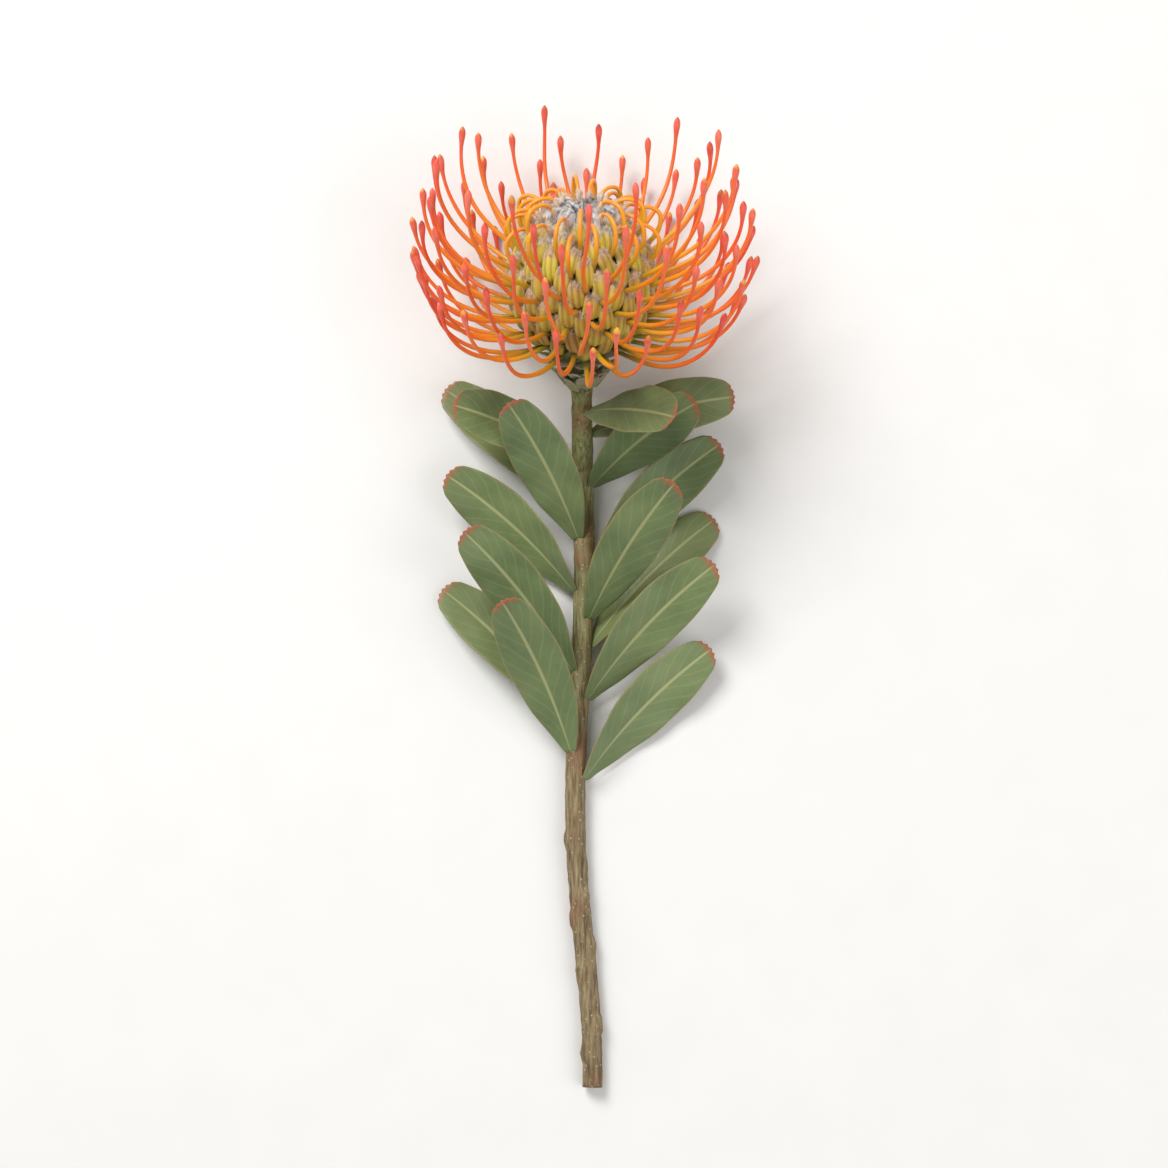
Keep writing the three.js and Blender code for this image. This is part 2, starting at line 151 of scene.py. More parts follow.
# Finer shape of the pins: share along a pin against its radius
PIN_SIDES = 8
PIN_RINGS = 36
PIN_OUTLINE = (
    (0, 0.6), (0.12, 0.8), (0.24, 0.92), (0.36, 0.89), (0.48, 0.84), (0.58, 0.79), (0.67, 0.74), (0.75, 0.69),
    (0.81, 0.65), (0.855, 0.64), (0.885, 0.7), (0.908, 0.84), (0.926, 1.02), (0.942, 1.18), (0.957, 1.27),
    (0.971, 1.2), (0.984, 0.92), (0.994, 0.5), (1, 0.15),
)
LOOP_OUTLINE = (
    (0, 0.6), (0.1, 0.78), (0.2, 0.9), (0.3, 0.94), (0.4, 0.92), (0.5, 0.88), (0.6, 0.83),
    (0.7, 0.77), (0.8, 0.72), (0.9, 0.66), (1, 0.6),
)
LOOP_COLOUR_END = 0.58
LOOP_PALENESS = 0.45
CAP_OUTLINE = ((0.88, 0.4), (0.89, 0.72), (0.91, 0.86), (0.94, 0.98), (0.965, 0.95), (0.985, 0.72), (1, 0.3))
CAP_SIDES = 10
CAP_HAIRS = 90
CAP_HAIR_LENGTHS = (0.7, 1.6)
CAP_WOOL_ENDS = (0.89, 0.99)
CAP_WOOL_RADIUS = 0.8
PIN_STEPS = 40
PIN_WANDER = 2.3

# Roll of a perianth: outward and upward from its place on the dome
ROLL_LINE = (
    (-8, -3.4), (-4.4, -4.6), (-1.7, -4.6), (0.1, -3.1), (0.9, -0.8), (1, 1.7), (0.7, 3.8),
    (0, 5.4), (-1.2, 6.4), (-2.5, 6.2), (-3.2, 5.2),
)
CAUGHT_LINE = (
    (-8, -3.4), (-4.4, -4.6), (-1.7, -4.5), (0, -2.8), (0.6, 0), (0.6, 2.6), (0, 4.8), (-0.9, 6.4),
    (-2.2, 7.2),
)
ROLL_SHARES = (0.35, 0.45, 0.62, 0.8, 0.94, 1, 1, 0.98, 0.9, 0.76, 0.56, 0.34)
CAUGHT_SHARES = (0.35, 0.45, 0.62, 0.8, 0.94, 1.04, 1.04, 0.94, 0.74, 0.42)
ROLL_ROOT_HEIGHT = 0.3
ROLL_SIZE_VARIES = 0.13
ROLL_WIDTH_VARIES = 0.09
ROLL_TURN_VARIES = 13
ROLL_HALF_WIDTH = 3.35
ROLL_LENGTH = 32
ROLL_THICKNESS = 0.34
ROLL_STEPS = 26
RIB_DEPTH = 0.3
ROLL_ARCH = 1.5
ROLL_PINCH = 0.12
ROLL_COLUMNS = 12
TIP_SPLIT = 0.95
SPLIT_PLACE = 0.33
SPLIT_HALF_WIDTH = 0.08
SHEATH_HAIRS = 104
SHEATH_HAIR_LENGTHS = (1.2, 3.1)
SHEATH_WOOL_START = 0.84
LOWEST_BRONZE = 1.2
BRONZE_FADES = 1.45
BRONZE_VARIES = 0.4

# Crown bud: share along it against its radius
BUD_LENGTH = 24
BUD_SIDES = 16
BUD_RIBS = 4
BUD_GROOVE = 0.84
BUD_OUTLINE = (
    (0, 0.45), (0.2, 0.7), (0.4, 0.92), (0.55, 1.08), (0.65, 1.22), (0.75, 1.32), (0.83, 1.3), (0.9, 1.08),
    (0.96, 0.72), (1, 0.25),
)
BUD_TURN_IN = ((3.4, 31.8), (5.1, 40), (6.6, 46.2), (6.9, 49.4), (6, 51), (4.5, 50.4), (3.3, 48.2))
BUD_RINGS = 27
BUD_HAIRS = 170
BUD_HAIR_LENGTHS = (1.8, 3.4)
BUD_WOOL_START = 0.74
BUD_WOOL_RADII = (1.22, 0.8)
BUD_SHOULDER = 0.88
GREEN_BUD_HAIRS = 150
GREEN_BUD_WOOL_START = 0.85
SMALL_BUD_SIZE = 0.84
SMALL_BUD_SIZE_VARIES = 0.12
SMALL_BUD_TURN_VARIES = 0.35
SMALL_BUD_DROP = 0.8
SMALL_BUD_DROP_VARIES = 0.7
SMALL_BUD_SPREAD = 1.05
SMALL_BUD_SPREAD_VARIES = 0.08
OUTER_BUD_SIZE = 1.95
OUTER_BUD_SIZE_VARIES = 0.15
OUTER_BUD_TURN = 5
LAST_OUTER_BUD_SPREAD = 0.86
OUTER_BUD_LINE = (
    (5.5, 29.3), (9.2, 37), (12, 43.5), (13, 47), (12.4, 49.5), (10.3, 50.9), (7.8, 50.6),
)
INNER_BUD_SIZE = 0.5
INNER_BUD_LINE = ((1.6, 31), (2.2, 37), (2.7, 41.5), (2.4, 44.5), (1.4, 45.8))

# Bracts
SCALES_PER_WHORL = 12
BRACT_WIDTH = 4.6
BRACT_STEPS = 8
BRACT_COLUMNS = 6
BRACT_THICKNESS = 0.45
BRACT_EDGE_LIFT = 0.35
BRACT_CREASE = 0.25
BRACT_CLEARANCE = 0.1
BRACT_LIFTS = (-0.3, 0.5)
BRACT_LIFT_VARIES = 0.5
FRINGE_HAIRS = 90
FRINGE_HAIR_LENGTHS = (0.5, 1.1)
DOWN_HAIRS = 60
DOWN_HAIR_LENGTHS = (0.4, 0.9)

# Stem
STEM_SIDES = 24
STEM_RING = 2
BARK_UNEVEN = 0.035
BARK_RIM = 0.45
CUT_WOOD_RADIUS = 3.3
RECEPTACLE_HEIGHTS = (3, 6, 10, 15, 20, 24, 27, 29.5, 30.7)
STEM_SCARS = 9
FIRST_SCAR = 12
SCAR_SPACING = 9.5
SCAR_LENGTH = 3.5
SCAR_HEIGHT = 0.28
SCAR_STEPS = (1, 0.75, 0.45)
TABLE_CLEARANCE = 0.1 * MILLIMETRE

# Leaves
LEAF_SHARES = (0.2, 0.62, 0.9, 1, 0.98, 0.82, 0.5)
LEAF_STEPS = 24
LEAF_LINE_STEPS = 16
LEAF_COLUMNS = 10
BLADE_THICKNESS = 0.62
LEAF_TOOTH = 1.1
LEAF_NOTCH = 0.9
LEAF_TIP_ROUND = 2.2
LEAF_CUP = 1.1
LEAF_GROOVE = 0.45
LEAF_RIPPLE = 0.4
LEAF_RIPPLE_RATE = 0.32

# Wool: share along a hair against its thickness, and the light that soft flesh lets through
HAIR_RINGS = ((0, 1), (0.55, 0.75))
FLESH_GLOW = {"subsurface_weight": 0.15, "subsurface_scale": 0.001}

# Camera: its tilt above the table in degrees, its distance in metres and its lens
CAMERA_ELEVATION = 85
CAMERA_DISTANCE = 1.12
CAMERA_LENS = 100


def mix(a, b, share):
    return a + (b - a) * share


def smoothstep(x, low, high):
    share = min(1, max(0, (x - low) / (high - low)))
    return share * share * (3 - 2 * share)


def irregular(i, kind):
    """Small repeatable irregularity from -1 to 1: i numbers the piece, and kind says what varies."""
    wave = math.sin(i * 12.9898 + kind * 78.233) * 43758.5453
    return 2 * (wave - math.floor(wave)) - 1


def uneven_share(i, kind):
    return 0.5 + 0.5 * irregular(i, kind)


# Places: the head's frame, the table and the florets

HEAD = Matrix.Translation(HEAD_BASE) @ Matrix.Rotation(math.radians(HEAD_RISE - 90), 4, "X")
HEAD_UP = Vector((0, -math.cos(math.radians(HEAD_RISE)), math.sin(math.radians(HEAD_RISE))))
# Stands a drawing in the x, y plane up, so that its y becomes the height
UPRIGHT = Matrix.Rotation(math.radians(90), 4, "X")


def soft_height(height, clearance):
    """Keep what would sink into the table just above it."""
    over = (height - clearance) / TABLE_SOFTNESS
    return clearance + TABLE_SOFTNESS * (over if over > FAR_ABOVE else math.log1p(math.exp(over)))


def laid_in_head(point, clearance):
    height = point.dot(HEAD_UP) + HEAD_BASE.z
    return point + HEAD_UP * (soft_height(height, clearance) - height)


class Floret:
    """A floret's place on the dome: radius and height pairs, and the directions there."""

    def __init__(self, i):
        self.number = i
        self.climb = (i + 0.5) / FLORETS
        sine = mix(LOWEST_SINE, HIGHEST_SINE, self.climb)
        cosine = math.sqrt(1 - sine * sine)
        facing = math.atan2(DOME_RADIUS * sine, DOME_HALF * cosine)
        facing *= UNDERSIDE_TILT if sine < 0 else 1
        self.azimuth = i * math.radians(GOLDEN_ANGLE)
        self.dome = (DOME_RADIUS * cosine, DOME_MIDDLE + DOME_HALF * sine)
        self.root = (RECEPTACLE_RADIUS * cosine, RECEPTACLE_MIDDLE + RECEPTACLE_HALF * sine)
        self.normal = (math.cos(facing), math.sin(facing))
        self.upward = (-math.sin(facing), math.cos(facing))

    def offset(self, anchor, outward, upward):
        return tuple(anchor[k] + self.normal[k] * outward + self.upward[k] * upward for k in (0, 1))


def in_head(radius, height, azimuth):
    return Vector((radius * math.cos(azimuth), radius * math.sin(azimuth), height))


def smooth_line(points, steps):
    """More points on a smooth line through the ones given."""
    points = [Vector(point) for point in points]
    ends = [2 * points[0] - points[1], *points, 2 * points[-1] - points[-2]]
    line = []
    for step in range(steps + 1):
        place = step / steps * (len(points) - 1)
        j = min(int(place), len(points) - 2)
        t = place - j
        a, b, c, d = ends[j:j + 4]
        line.append(0.5 * (2 * b + (c - a) * t + (2 * a - 5 * b + 4 * c - d) * t * t
                           + (3 * b - 3 * c + d - a) * t * t * t))
    return line


def smooth_values(values, steps):
    return [point.x for point in smooth_line([(value, 0, 0) for value in values], steps)]


def smooth_outline(outline, length, rings):
    """A rod's outline with more rings: x and radius, from shares of its length and radii."""
    line = smooth_line([(share * length, radius, 0) for share, radius in outline], rings)
    return [(point.x, point.y) for point in line]


def away_from_axis(angle):
    """The direction away from the x axis at an angle about it."""
    return Vector((0, math.cos(angle), math.sin(angle)))


# Hand tools: what every piece is made with

def select_only(*pieces):
    bpy.ops.object.select_all(action="DESELECT")
    for piece in pieces:
        piece.select_set(True)
    bpy.context.view_layer.objects.active = pieces[0]


def own_copy(master, name):
    piece = master.copy()
    piece.data = master.data.copy()
    piece.name = name
    bpy.context.collection.objects.link(piece)
    return piece


def discard(*pieces):
    for piece in pieces:
        data = piece.data
        bpy.data.objects.remove(piece)
        bpy.data.batch_remove([data])


def start_shaping(piece):
    select_only(piece)
    bpy.ops.object.mode_set(mode="EDIT")


def stop_shaping():
    bpy.ops.object.mode_set(mode="OBJECT")


def select_where(piece, kind, test):
    """In edit mode, select the vertices or faces whose place passes the test."""
    bpy.ops.mesh.select_mode(type=kind)
    bpy.ops.mesh.select_all(action="DESELECT")
    bpy.ops.object.mode_set(mode="OBJECT")
    parts = piece.data.polygons if kind == "FACE" else piece.data.vertices
    for part in parts:
        part.select = test(part.center if kind == "FACE" else part.co)
    bpy.ops.object.mode_set(mode="EDIT")


def select_row(piece, axis, place, reach=0.05):
    """In edit mode, select the vertices that stand at one place along an axis."""
    select_where(piece, "VERT", lambda point: abs(point[axis] - place) < reach)


def shift(x, y, z):
    bpy.ops.transform.translate(value=(x, y, z))


def squeeze(x, y, z, centre=(0, 0, 0)):
    bpy.ops.transform.resize(value=(x, y, z), center_override=centre)


def apply_modifier(piece, kind, **settings):
    modifier = piece.modifiers.new(kind.title(), kind)
    for name, value in settings.items():
        setattr(modifier, name, value)
    select_only(piece)
    bpy.ops.object.modifier_apply(modifier=modifier.name)


def bend_along(piece, line, shares=None, tilts=None, twist="Z_UP"):
    """Bend a straight piece, whose length lies along x, so that it fills a line of points."""
    curve = bpy.data.curves.new("guide", "CURVE")
    curve.dimensions = "3D"
    curve.twist_mode = twist
    curve.use_stretch = True
    curve.use_deform_bounds = True
    spline = curve.splines.new("POLY")
    spline.points.add(len(line) - 1)
    for j, point in enumerate(line):
        spline.points[j].co = (*point, 1)
        spline.points[j].radius = shares[j] if shares else 1
        spline.points[j].tilt = tilts[j] if tilts else 0
    guide = bpy.data.objects.new("guide", curve)
    bpy.context.collection.objects.link(guide)
    apply_modifier(piece, "CURVE", object=guide, deform_axis="POS_X")
    discard(guide)


def place(piece, matrix):
    """Put a piece where it belongs, in metres, with its place in its mesh."""
    piece.data.transform(Matrix.Scale(MILLIMETRE, 4) @ matrix)


def joined(pieces, name):
    select_only(*pieces)
    bpy.ops.object.join()
    piece = bpy.context.view_layer.objects.active
    piece.name = name
    piece.data.name = name
    return piece


def mark_tone(piece, tone):
    """One value from 0 to 1 over the whole piece, which its material reads."""
    attribute = piece.data.attributes.new("tone", "FLOAT", "POINT")
    attribute.data.foreach_set("value", [tone] * len(piece.data.vertices))


def dress(piece, length, across, material):
    """Give a piece its material and its UV: u runs along it, and v goes round it or across it."""
    piece.data.materials.append(material)
    layer = piece.data.uv_layers.get("UVMap") or piece.data.uv_layers.new(name="UVMap")
    for loop in piece.data.loops:
        point = piece.data.vertices[loop.vertex_index].co
        layer.data[loop.index].uv = (point.x / length, across(point))


def turn_about(point):
    """Share of a whole turn about the x axis."""
    return math.atan2(point.y, point.z) / math.tau + 0.5


def rod(name, outline, sides):
    """A round rod along x, drawn out ring by ring from a disc; the outline gives x and radius."""
    bpy.ops.object.select_all(action="DESELECT")
    first = outline[0]
    bpy.ops.mesh.primitive_circle_add(
        vertices=sides, radius=first[1], fill_type="NGON",
        location=(first[0], 0, 0), rotation=(0, math.radians(90), 0))
    piece = bpy.context.active_object
    piece.name = name
    bpy.ops.object.transform_apply(location=True, rotation=True, scale=True)
    bpy.ops.object.mode_set(mode="EDIT")
    bpy.ops.mesh.select_all(action="SELECT")
    for (x, radius), (next_x, next_radius) in zip(outline, outline[1:]):
        bpy.ops.mesh.extrude_region_move(TRANSFORM_OT_translate={"value": (next_x - x, 0, 0)})
        swell = next_radius / radius
        squeeze(1, swell, swell, (next_x, 0, 0))
    bpy.ops.mesh.select_all(action="SELECT")
    bpy.ops.mesh.normals_make_consistent(inside=False)
    stop_shaping()
    bpy.ops.object.shade_smooth()
    return piece


def flat_sheet(length, width, steps, columns, turn=0):
    """A flat sheet along x, turned about x, from which sheaths, scales and blades are shaped."""
    bpy.ops.object.select_all(action="DESELECT")
    bpy.ops.mesh.primitive_grid_add(
        x_subdivisions=steps, y_subdivisions=columns, size=2,
        rotation=(math.radians(turn), 0, 0), location=(0, 0, 0))
    piece = bpy.context.active_object
    piece.scale = (0.5 * length, 0.5 * width, 1)
    piece.location.x = 0.5 * length
    bpy.ops.object.transform_apply(location=True, rotation=True, scale=True)
    return piece


def thicken(piece, thickness, rounded=True):
    apply_modifier(piece, "SOLIDIFY", thickness=thickness, offset=0)
    if rounded:
        apply_modifier(piece, "SUBSURF", levels=1, render_levels=1)
    bpy.ops.object.shade_smooth()


def hairs(roots, seed, thickness, droop, length, wool):
    """Thin bent hairs on a piece of a given length; a root is its place, run and hair length."""
    draw = random.Random(seed)
    points = []
    faces = []
    for root, run, reach in roots:
        run = run.normalized()
        side = run.orthogonal().normalized()
        other = run.cross(side)
        lean = Vector([draw.uniform(-1, 1) for _ in range(3)]) * droop * reach
        start = len(points)
        for along, share in HAIR_RINGS:
            middle = root + run * along * reach + lean * along * along
            for corner in range(3):
                angle = corner * math.tau / 3
                across = side * math.cos(angle) + other * math.sin(angle)
                points.append(middle + across * thickness * share)
        points.append(root + run * reach + lean)
        for corner in range(3):
            after = (corner + 1) % 3
            faces.append((start + corner, start + after, start + 3 + after, start + 3 + corner))
            faces.append((start + 3 + corner, start + 3 + after, start + 6))
    mesh = bpy.data.meshes.new("hairs")
    mesh.from_pydata(points, [], faces)
    piece = bpy.data.objects.new("hairs", mesh)
    bpy.context.collection.objects.link(piece)
    dress(piece, length, lambda point: 0.5, wool)
    return piece


# Materials

class Finish:
    """A material in the making: each method adds a node, and done feeds the shader."""

    def __init__(self, name):
        self.material = bpy.data.materials.new(name)
        self.material.use_nodes = True
        self.tree = self.material.node_tree
        self.shader = self.tree.nodes["Principled BSDF"]
        places = self.node("ShaderNodeTexCoord").outputs
        self.own = places["Object"]
        self.uv = places["UV"]
        shares = self.node("ShaderNodeSeparateXYZ", {"Vector": self.uv}).outputs
        self.along = shares["X"]
        self.across = shares["Y"]

    def feed(self, socket, value):
        """Link another node's output to a socket, or set a value on it."""
        if isinstance(value, bpy.types.NodeSocket):
            self.tree.links.new(value, socket)
        else:
            socket.default_value = value

    def node(self, kind, inputs=(), **settings):
        node = self.tree.nodes.new(kind)
        for name, value in settings.items():
            setattr(node, name, value)
        for key, value in dict(inputs).items():
            self.feed(node.inputs[key], value)
        return node

    def combine(self, operation, *values):
        return self.node("ShaderNodeMath", enumerate(values), operation=operation).outputs[0]

    def times(self, value, factor):
        return self.combine("MULTIPLY", value, factor)

    def ramp(self, factor, *stops):
        """Colours that run into each other; each stop is a place and its colour."""
        node = self.node("ShaderNodeValToRGB", {"Fac": factor})
        elements = node.color_ramp.elements
        while len(elements) < len(stops):
            elements.new(0.5)
        for element, (position, *colour) in zip(elements, stops):
            element.position = position
            element.color = (*colour, 1)
        return node.outputs["Color"]

    def fade(self, factor, *stops):
        """A ramp of greys, for a share or a roughness."""
        return self.ramp(factor, *[(position, grey, grey, grey) for position, grey in stops])

    def mix(self, share, under, over):
        """One colour laid over another by a share."""
        colours = [side if isinstance(side, bpy.types.NodeSocket) else (*side, 1) for side in (under, over)]
        inputs = {0: share, 6: colours[0], 7: colours[1]}
        return self.node("ShaderNodeMix", inputs, data_type="RGBA", clamp_factor=True).outputs[2]

    def noise(self, vector, scale, detail=3, roughness=0.5):
        inputs = {"Vector": vector, "Scale": scale, "Detail": detail, "Roughness": roughness}
        return self.node("ShaderNodeTexNoise", inputs).outputs["Fac"]

    def stretched(self, vector, *scale):
        return self.node("ShaderNodeMapping", {"Vector": vector, "Scale": scale}).outputs["Vector"]

    def tone(self):
        return self.node("ShaderNodeAttribute", attribute_name="tone").outputs["Fac"]

    def ribs(self, count, height):
        """Waves across or round the piece, between 0 and 1."""
        wave = self.combine("COSINE", self.times(self.across, count * math.tau))
        return self.combine("MULTIPLY_ADD", wave, height, 0.5)

    def bump(self, height, strength, distance):
        inputs = {"Height": height, "Strength": strength, "Distance": distance}
        self.feed(self.shader.inputs["Normal"], self.node("ShaderNodeBump", inputs).outputs["Normal"])

    def done(self, colour, roughness, **values):
        """Feed the shader its colour and roughness, and set its other values by name."""
        self.feed(self.shader.inputs["Base Color"], colour)
        self.feed(self.shader.inputs["Roughness"], roughness)
        for name, value in values.items():
            self.shader.inputs[name.replace("_", " ").title()].default_value = value
        return self.material


def pin_flesh():
    """Waxy pins: yellow at the foot, orange along, red-orange above and a coral knob."""
    flesh = Finish("pin flesh")
    wander = flesh.combine("MULTIPLY_ADD", flesh.noise(flesh.own, 90), 0.16, -0.08)
    along = flesh.combine("ADD", flesh.along, wander)
    golden = flesh.ramp(
        along, (0.17, 0.2, 0.2, 0.012), (0.26, 0.62, 0.42, 0.014), (0.4, 0.93, 0.4, 0.014),
        (0.62, 0.95, 0.26, 0.012), (0.82, 0.93, 0.17, 0.018), (0.9, 0.9, 0.17, 0.06),
        (0.95, 0.9, 0.2, 0.12), (0.985, 0.82, 0.12, 0.05), (0.997, 0.85, 0.42, 0.06))
    fiery = flesh.ramp(
        along, (0.17, 0.2, 0.15, 0.012), (0.26, 0.6, 0.26, 0.012), (0.4, 0.9, 0.24, 0.01),
        (0.62, 0.88, 0.14, 0.01), (0.82, 0.83, 0.08, 0.012), (0.9, 0.82, 0.09, 0.04),
        (0.95, 0.86, 0.13, 0.09), (0.985, 0.7, 0.06, 0.03), (0.997, 0.4, 0.03, 0.015))
    streaks = flesh.noise(flesh.stretched(flesh.uv, 12, 5, 1), 3, 4)
    flesh.bump(streaks, 0.25, 0.0003)
    return flesh.done(
        flesh.mix(flesh.tone(), golden, fiery), flesh.combine("MULTIPLY_ADD", streaks, 0.2, 0.3),
        coat_weight=0.15, coat_roughness=0.3, subsurface_radius=(1, 0.4, 0.1), **FLESH_GLOW)


def sheath_skin():
    """Ribbed sheaths: yellow ribs over olive grooves, bronze low down, mauve at the tip; the grooves are
    darkened with painted shade and the ribs lightened with painted light.
    """
    skin = Finish("perianth sheath")
    ribs = skin.combine("POWER", skin.ribs(3, -0.5), 0.6)
    fibres = skin.noise(skin.stretched(skin.uv, 5, 26, 1), 3, 4)
    lines = skin.noise(skin.stretched(skin.uv, 2.5, 60, 1), 3, 5, 0.6)
    # Painted shade and light: the groove colour is about half as bright as the rib colour, as if shade lay in
    # the grooves and light on the ribs.
    groove = skin.ramp(
        skin.along, (0.3, 0.12, 0.07, 0.008), (0.46, 0.27, 0.25, 0.008), (0.62, 0.34, 0.34, 0.012),
        (0.8, 0.42, 0.34, 0.03), (0.95, 0.44, 0.3, 0.16))
    lit_ridge = skin.ramp(
        skin.along, (0.3, 0.25, 0.15, 0.02), (0.46, 0.58, 0.5, 0.018), (0.62, 0.76, 0.7, 0.03),
        (0.8, 0.8, 0.64, 0.08), (0.95, 0.8, 0.62, 0.36))
    colour = skin.mix(ribs, groove, lit_ridge)
    warm = skin.fade(skin.noise(skin.own, 260, 2), (0.48, 0), (0.66, 0.55))
    colour = skin.mix(warm, colour, (0.74, 0.33, 0.02))
    patches = skin.fade(skin.noise(skin.own, 140), (0.36, 0.25), (0.6, 1))
    # The bronze follows the ribs too, with painted shade in its grooves and painted light on its ribs.
    bronze = skin.mix(ribs, (0.16, 0.06, 0.01), (0.52, 0.25, 0.07))
    colour = skin.mix(skin.times(skin.tone(), patches), colour, bronze)
    # Painted light and shade: pale yellow and dark olive streaks along the fine lines stand for the lit and
    # shaded sides of the crinkled skin.
    streaks = skin.fade(lines, (0.36, 0.55), (0.5, 0), (0.66, 0.4))
    shade = skin.ramp(lines, (0.42, 0.2, 0.16, 0.008), (0.58, 0.86, 0.78, 0.2))
    colour = skin.mix(streaks, colour, shade)
    edge = skin.combine("ABSOLUTE", skin.combine("SUBTRACT", skin.across, 0.5))
    colour = skin.mix(skin.fade(edge, (0.42, 0), (0.5, 0.75)), colour, (0.82, 0.74, 0.4))
    skin.bump(skin.combine("ADD", fibres, lines), 0.5, 0.0006)
    return skin.done(
        colour, skin.combine("MULTIPLY_ADD", fibres, 0.3, 0.42),
        sheen_weight=0.08, sheen_roughness=0.5, subsurface_radius=(1, 0.8, 0.2), **FLESH_GLOW)


def fine_wool(name, dark, pale):
    """Matt wool in small patches that run from dark to pale."""
    fluff = Finish(name)
    cloud = fluff.noise(fluff.own, 700, 2)
    fluff.bump(cloud, 0.2, 0.0001)
    return fluff.done(
        fluff.ramp(cloud, (0.35, *dark), (0.62, *pale)), fluff.fade(cloud, (0.3, 0.6), (0.7, 0.85)),
        sheen_weight=0.5, sheen_roughness=0.4)


def bud_skin():
    """A yellow-green stalk that turns grey-mauve towards the head, with painted shade in its four grooves."""
    skin = Finish("bud skin")
    cloud = skin.noise(skin.own, 300)
    # Painted shade: the groove colour is about half as bright as the rib colour beside it, as if shade lay in
    # the grooves.
    groove = skin.ramp(
        skin.along, (0.2, 0.12, 0.08, 0.01), (0.5, 0.3, 0.27, 0.02), (0.74, 0.42, 0.36, 0.06),
        (0.86, 0.36, 0.31, 0.22), (1, 0.16, 0.14, 0.15))
    lit_ridge = skin.ramp(
        skin.along, (0.2, 0.25, 0.19, 0.03), (0.5, 0.6, 0.52, 0.06), (0.74, 0.74, 0.64, 0.14),
        (0.86, 0.7, 0.62, 0.42), (1, 0.5, 0.47, 0.5))
    colour = skin.mix(skin.ribs(BUD_RIBS, 0.5), groove, lit_ridge)
    colour = skin.mix(skin.times(cloud, 0.2), colour, (0.66, 0.6, 0.4))
    skin.bump(skin.noise(skin.stretched(skin.uv, 4, 20, 1), 4), 0.5, 0.0004)
    return skin.done(colour, skin.fade(cloud, (0.3, 0.55), (0.7, 0.8)))


def cap_felt():
    """Felted mauve-grey skin, yellower at its foot."""
    felt = Finish("cap felt")
    fibres = felt.noise(felt.stretched(felt.uv, 30, 8, 1), 3, 4)
    skin = felt.ramp(
        felt.along, (0.88, 0.85, 0.42, 0.06), (0.91, 0.72, 0.5, 0.2), (0.95, 0.6, 0.45, 0.34),
        (1, 0.45, 0.32, 0.3))
    felt.bump(fibres, 0.4, 0.0004)
    return felt.done(
        felt.mix(felt.times(fibres, 0.8), skin, (0.82, 0.7, 0.58)),
        felt.fade(fibres, (0.3, 0.65), (0.7, 0.85)))


def bract_skin():
    """Grey-green scales with brown, papery tips and a felt of down."""
    scale = Finish("bract")
    down = scale.noise(scale.stretched(scale.uv, 3, 18, 1), 5, 4)
    skin = scale.ramp(
        scale.along, (0, 0.34, 0.34, 0.12), (0.55, 0.42, 0.38, 0.15), (0.85, 0.46, 0.28, 0.12),
        (1, 0.28, 0.13, 0.06))
    scale.bump(down, 0.5, 0.0004)
    return scale.done(
        scale.mix(scale.times(down, 0.55), skin, (0.62, 0.57, 0.38)),
        scale.fade(down, (0.3, 0.6), (0.7, 0.9)), sheen_weight=0.3)


def stem_bark():
    """Green-brown bark with long streaks, pale pores and reddish patches."""
    bark = Finish("bark")
    streaks = bark.noise(bark.stretched(bark.own, 1, 0.12, 1), 900, 5, 0.6)
    brown = bark.ramp(
        streaks, (0.32, 0.085, 0.05, 0.025), (0.5, 0.21, 0.15, 0.07), (0.7, 0.33, 0.27, 0.14))
    green = bark.ramp(
        streaks, (0.32, 0.12, 0.1, 0.035), (0.5, 0.24, 0.25, 0.09), (0.7, 0.36, 0.36, 0.17))
    colour = bark.mix(bark.fade(bark.along, (0.3, 0), (0.8, 1)), brown, green)
    patches = bark.fade(bark.noise(bark.own, 60, 3), (0.5, 0), (0.72, 0.5))
    colour = bark.mix(patches, colour, (0.28, 0.09, 0.05))
    pores = bark.node("ShaderNodeTexVoronoi", {"Vector": bark.own, "Scale": 420}).outputs["Distance"]
    dots = bark.fade(pores, (0.12, 1), (0.24, 0))
    colour = bark.mix(bark.times(dots, 0.6), colour, (0.5, 0.42, 0.28))
    bark.bump(bark.combine("ADD", streaks, dots), 0.6, 0.0004)
    return bark.done(colour, bark.fade(streaks, (0.3, 0.85), (0.7, 0.55)))


def cut_wood():
    """Pale damp wood with a fine grain."""
    wood = Finish("cut wood")
    grain = wood.noise(wood.own, 1500, 3)
    wood.bump(grain, 0.4, 0.0003)
    return wood.done(
        wood.ramp(grain, (0.35, 0.42, 0.32, 0.16), (0.65, 0.66, 0.56, 0.34)),
        wood.fade(grain, (0.3, 0.5), (0.7, 0.75)))


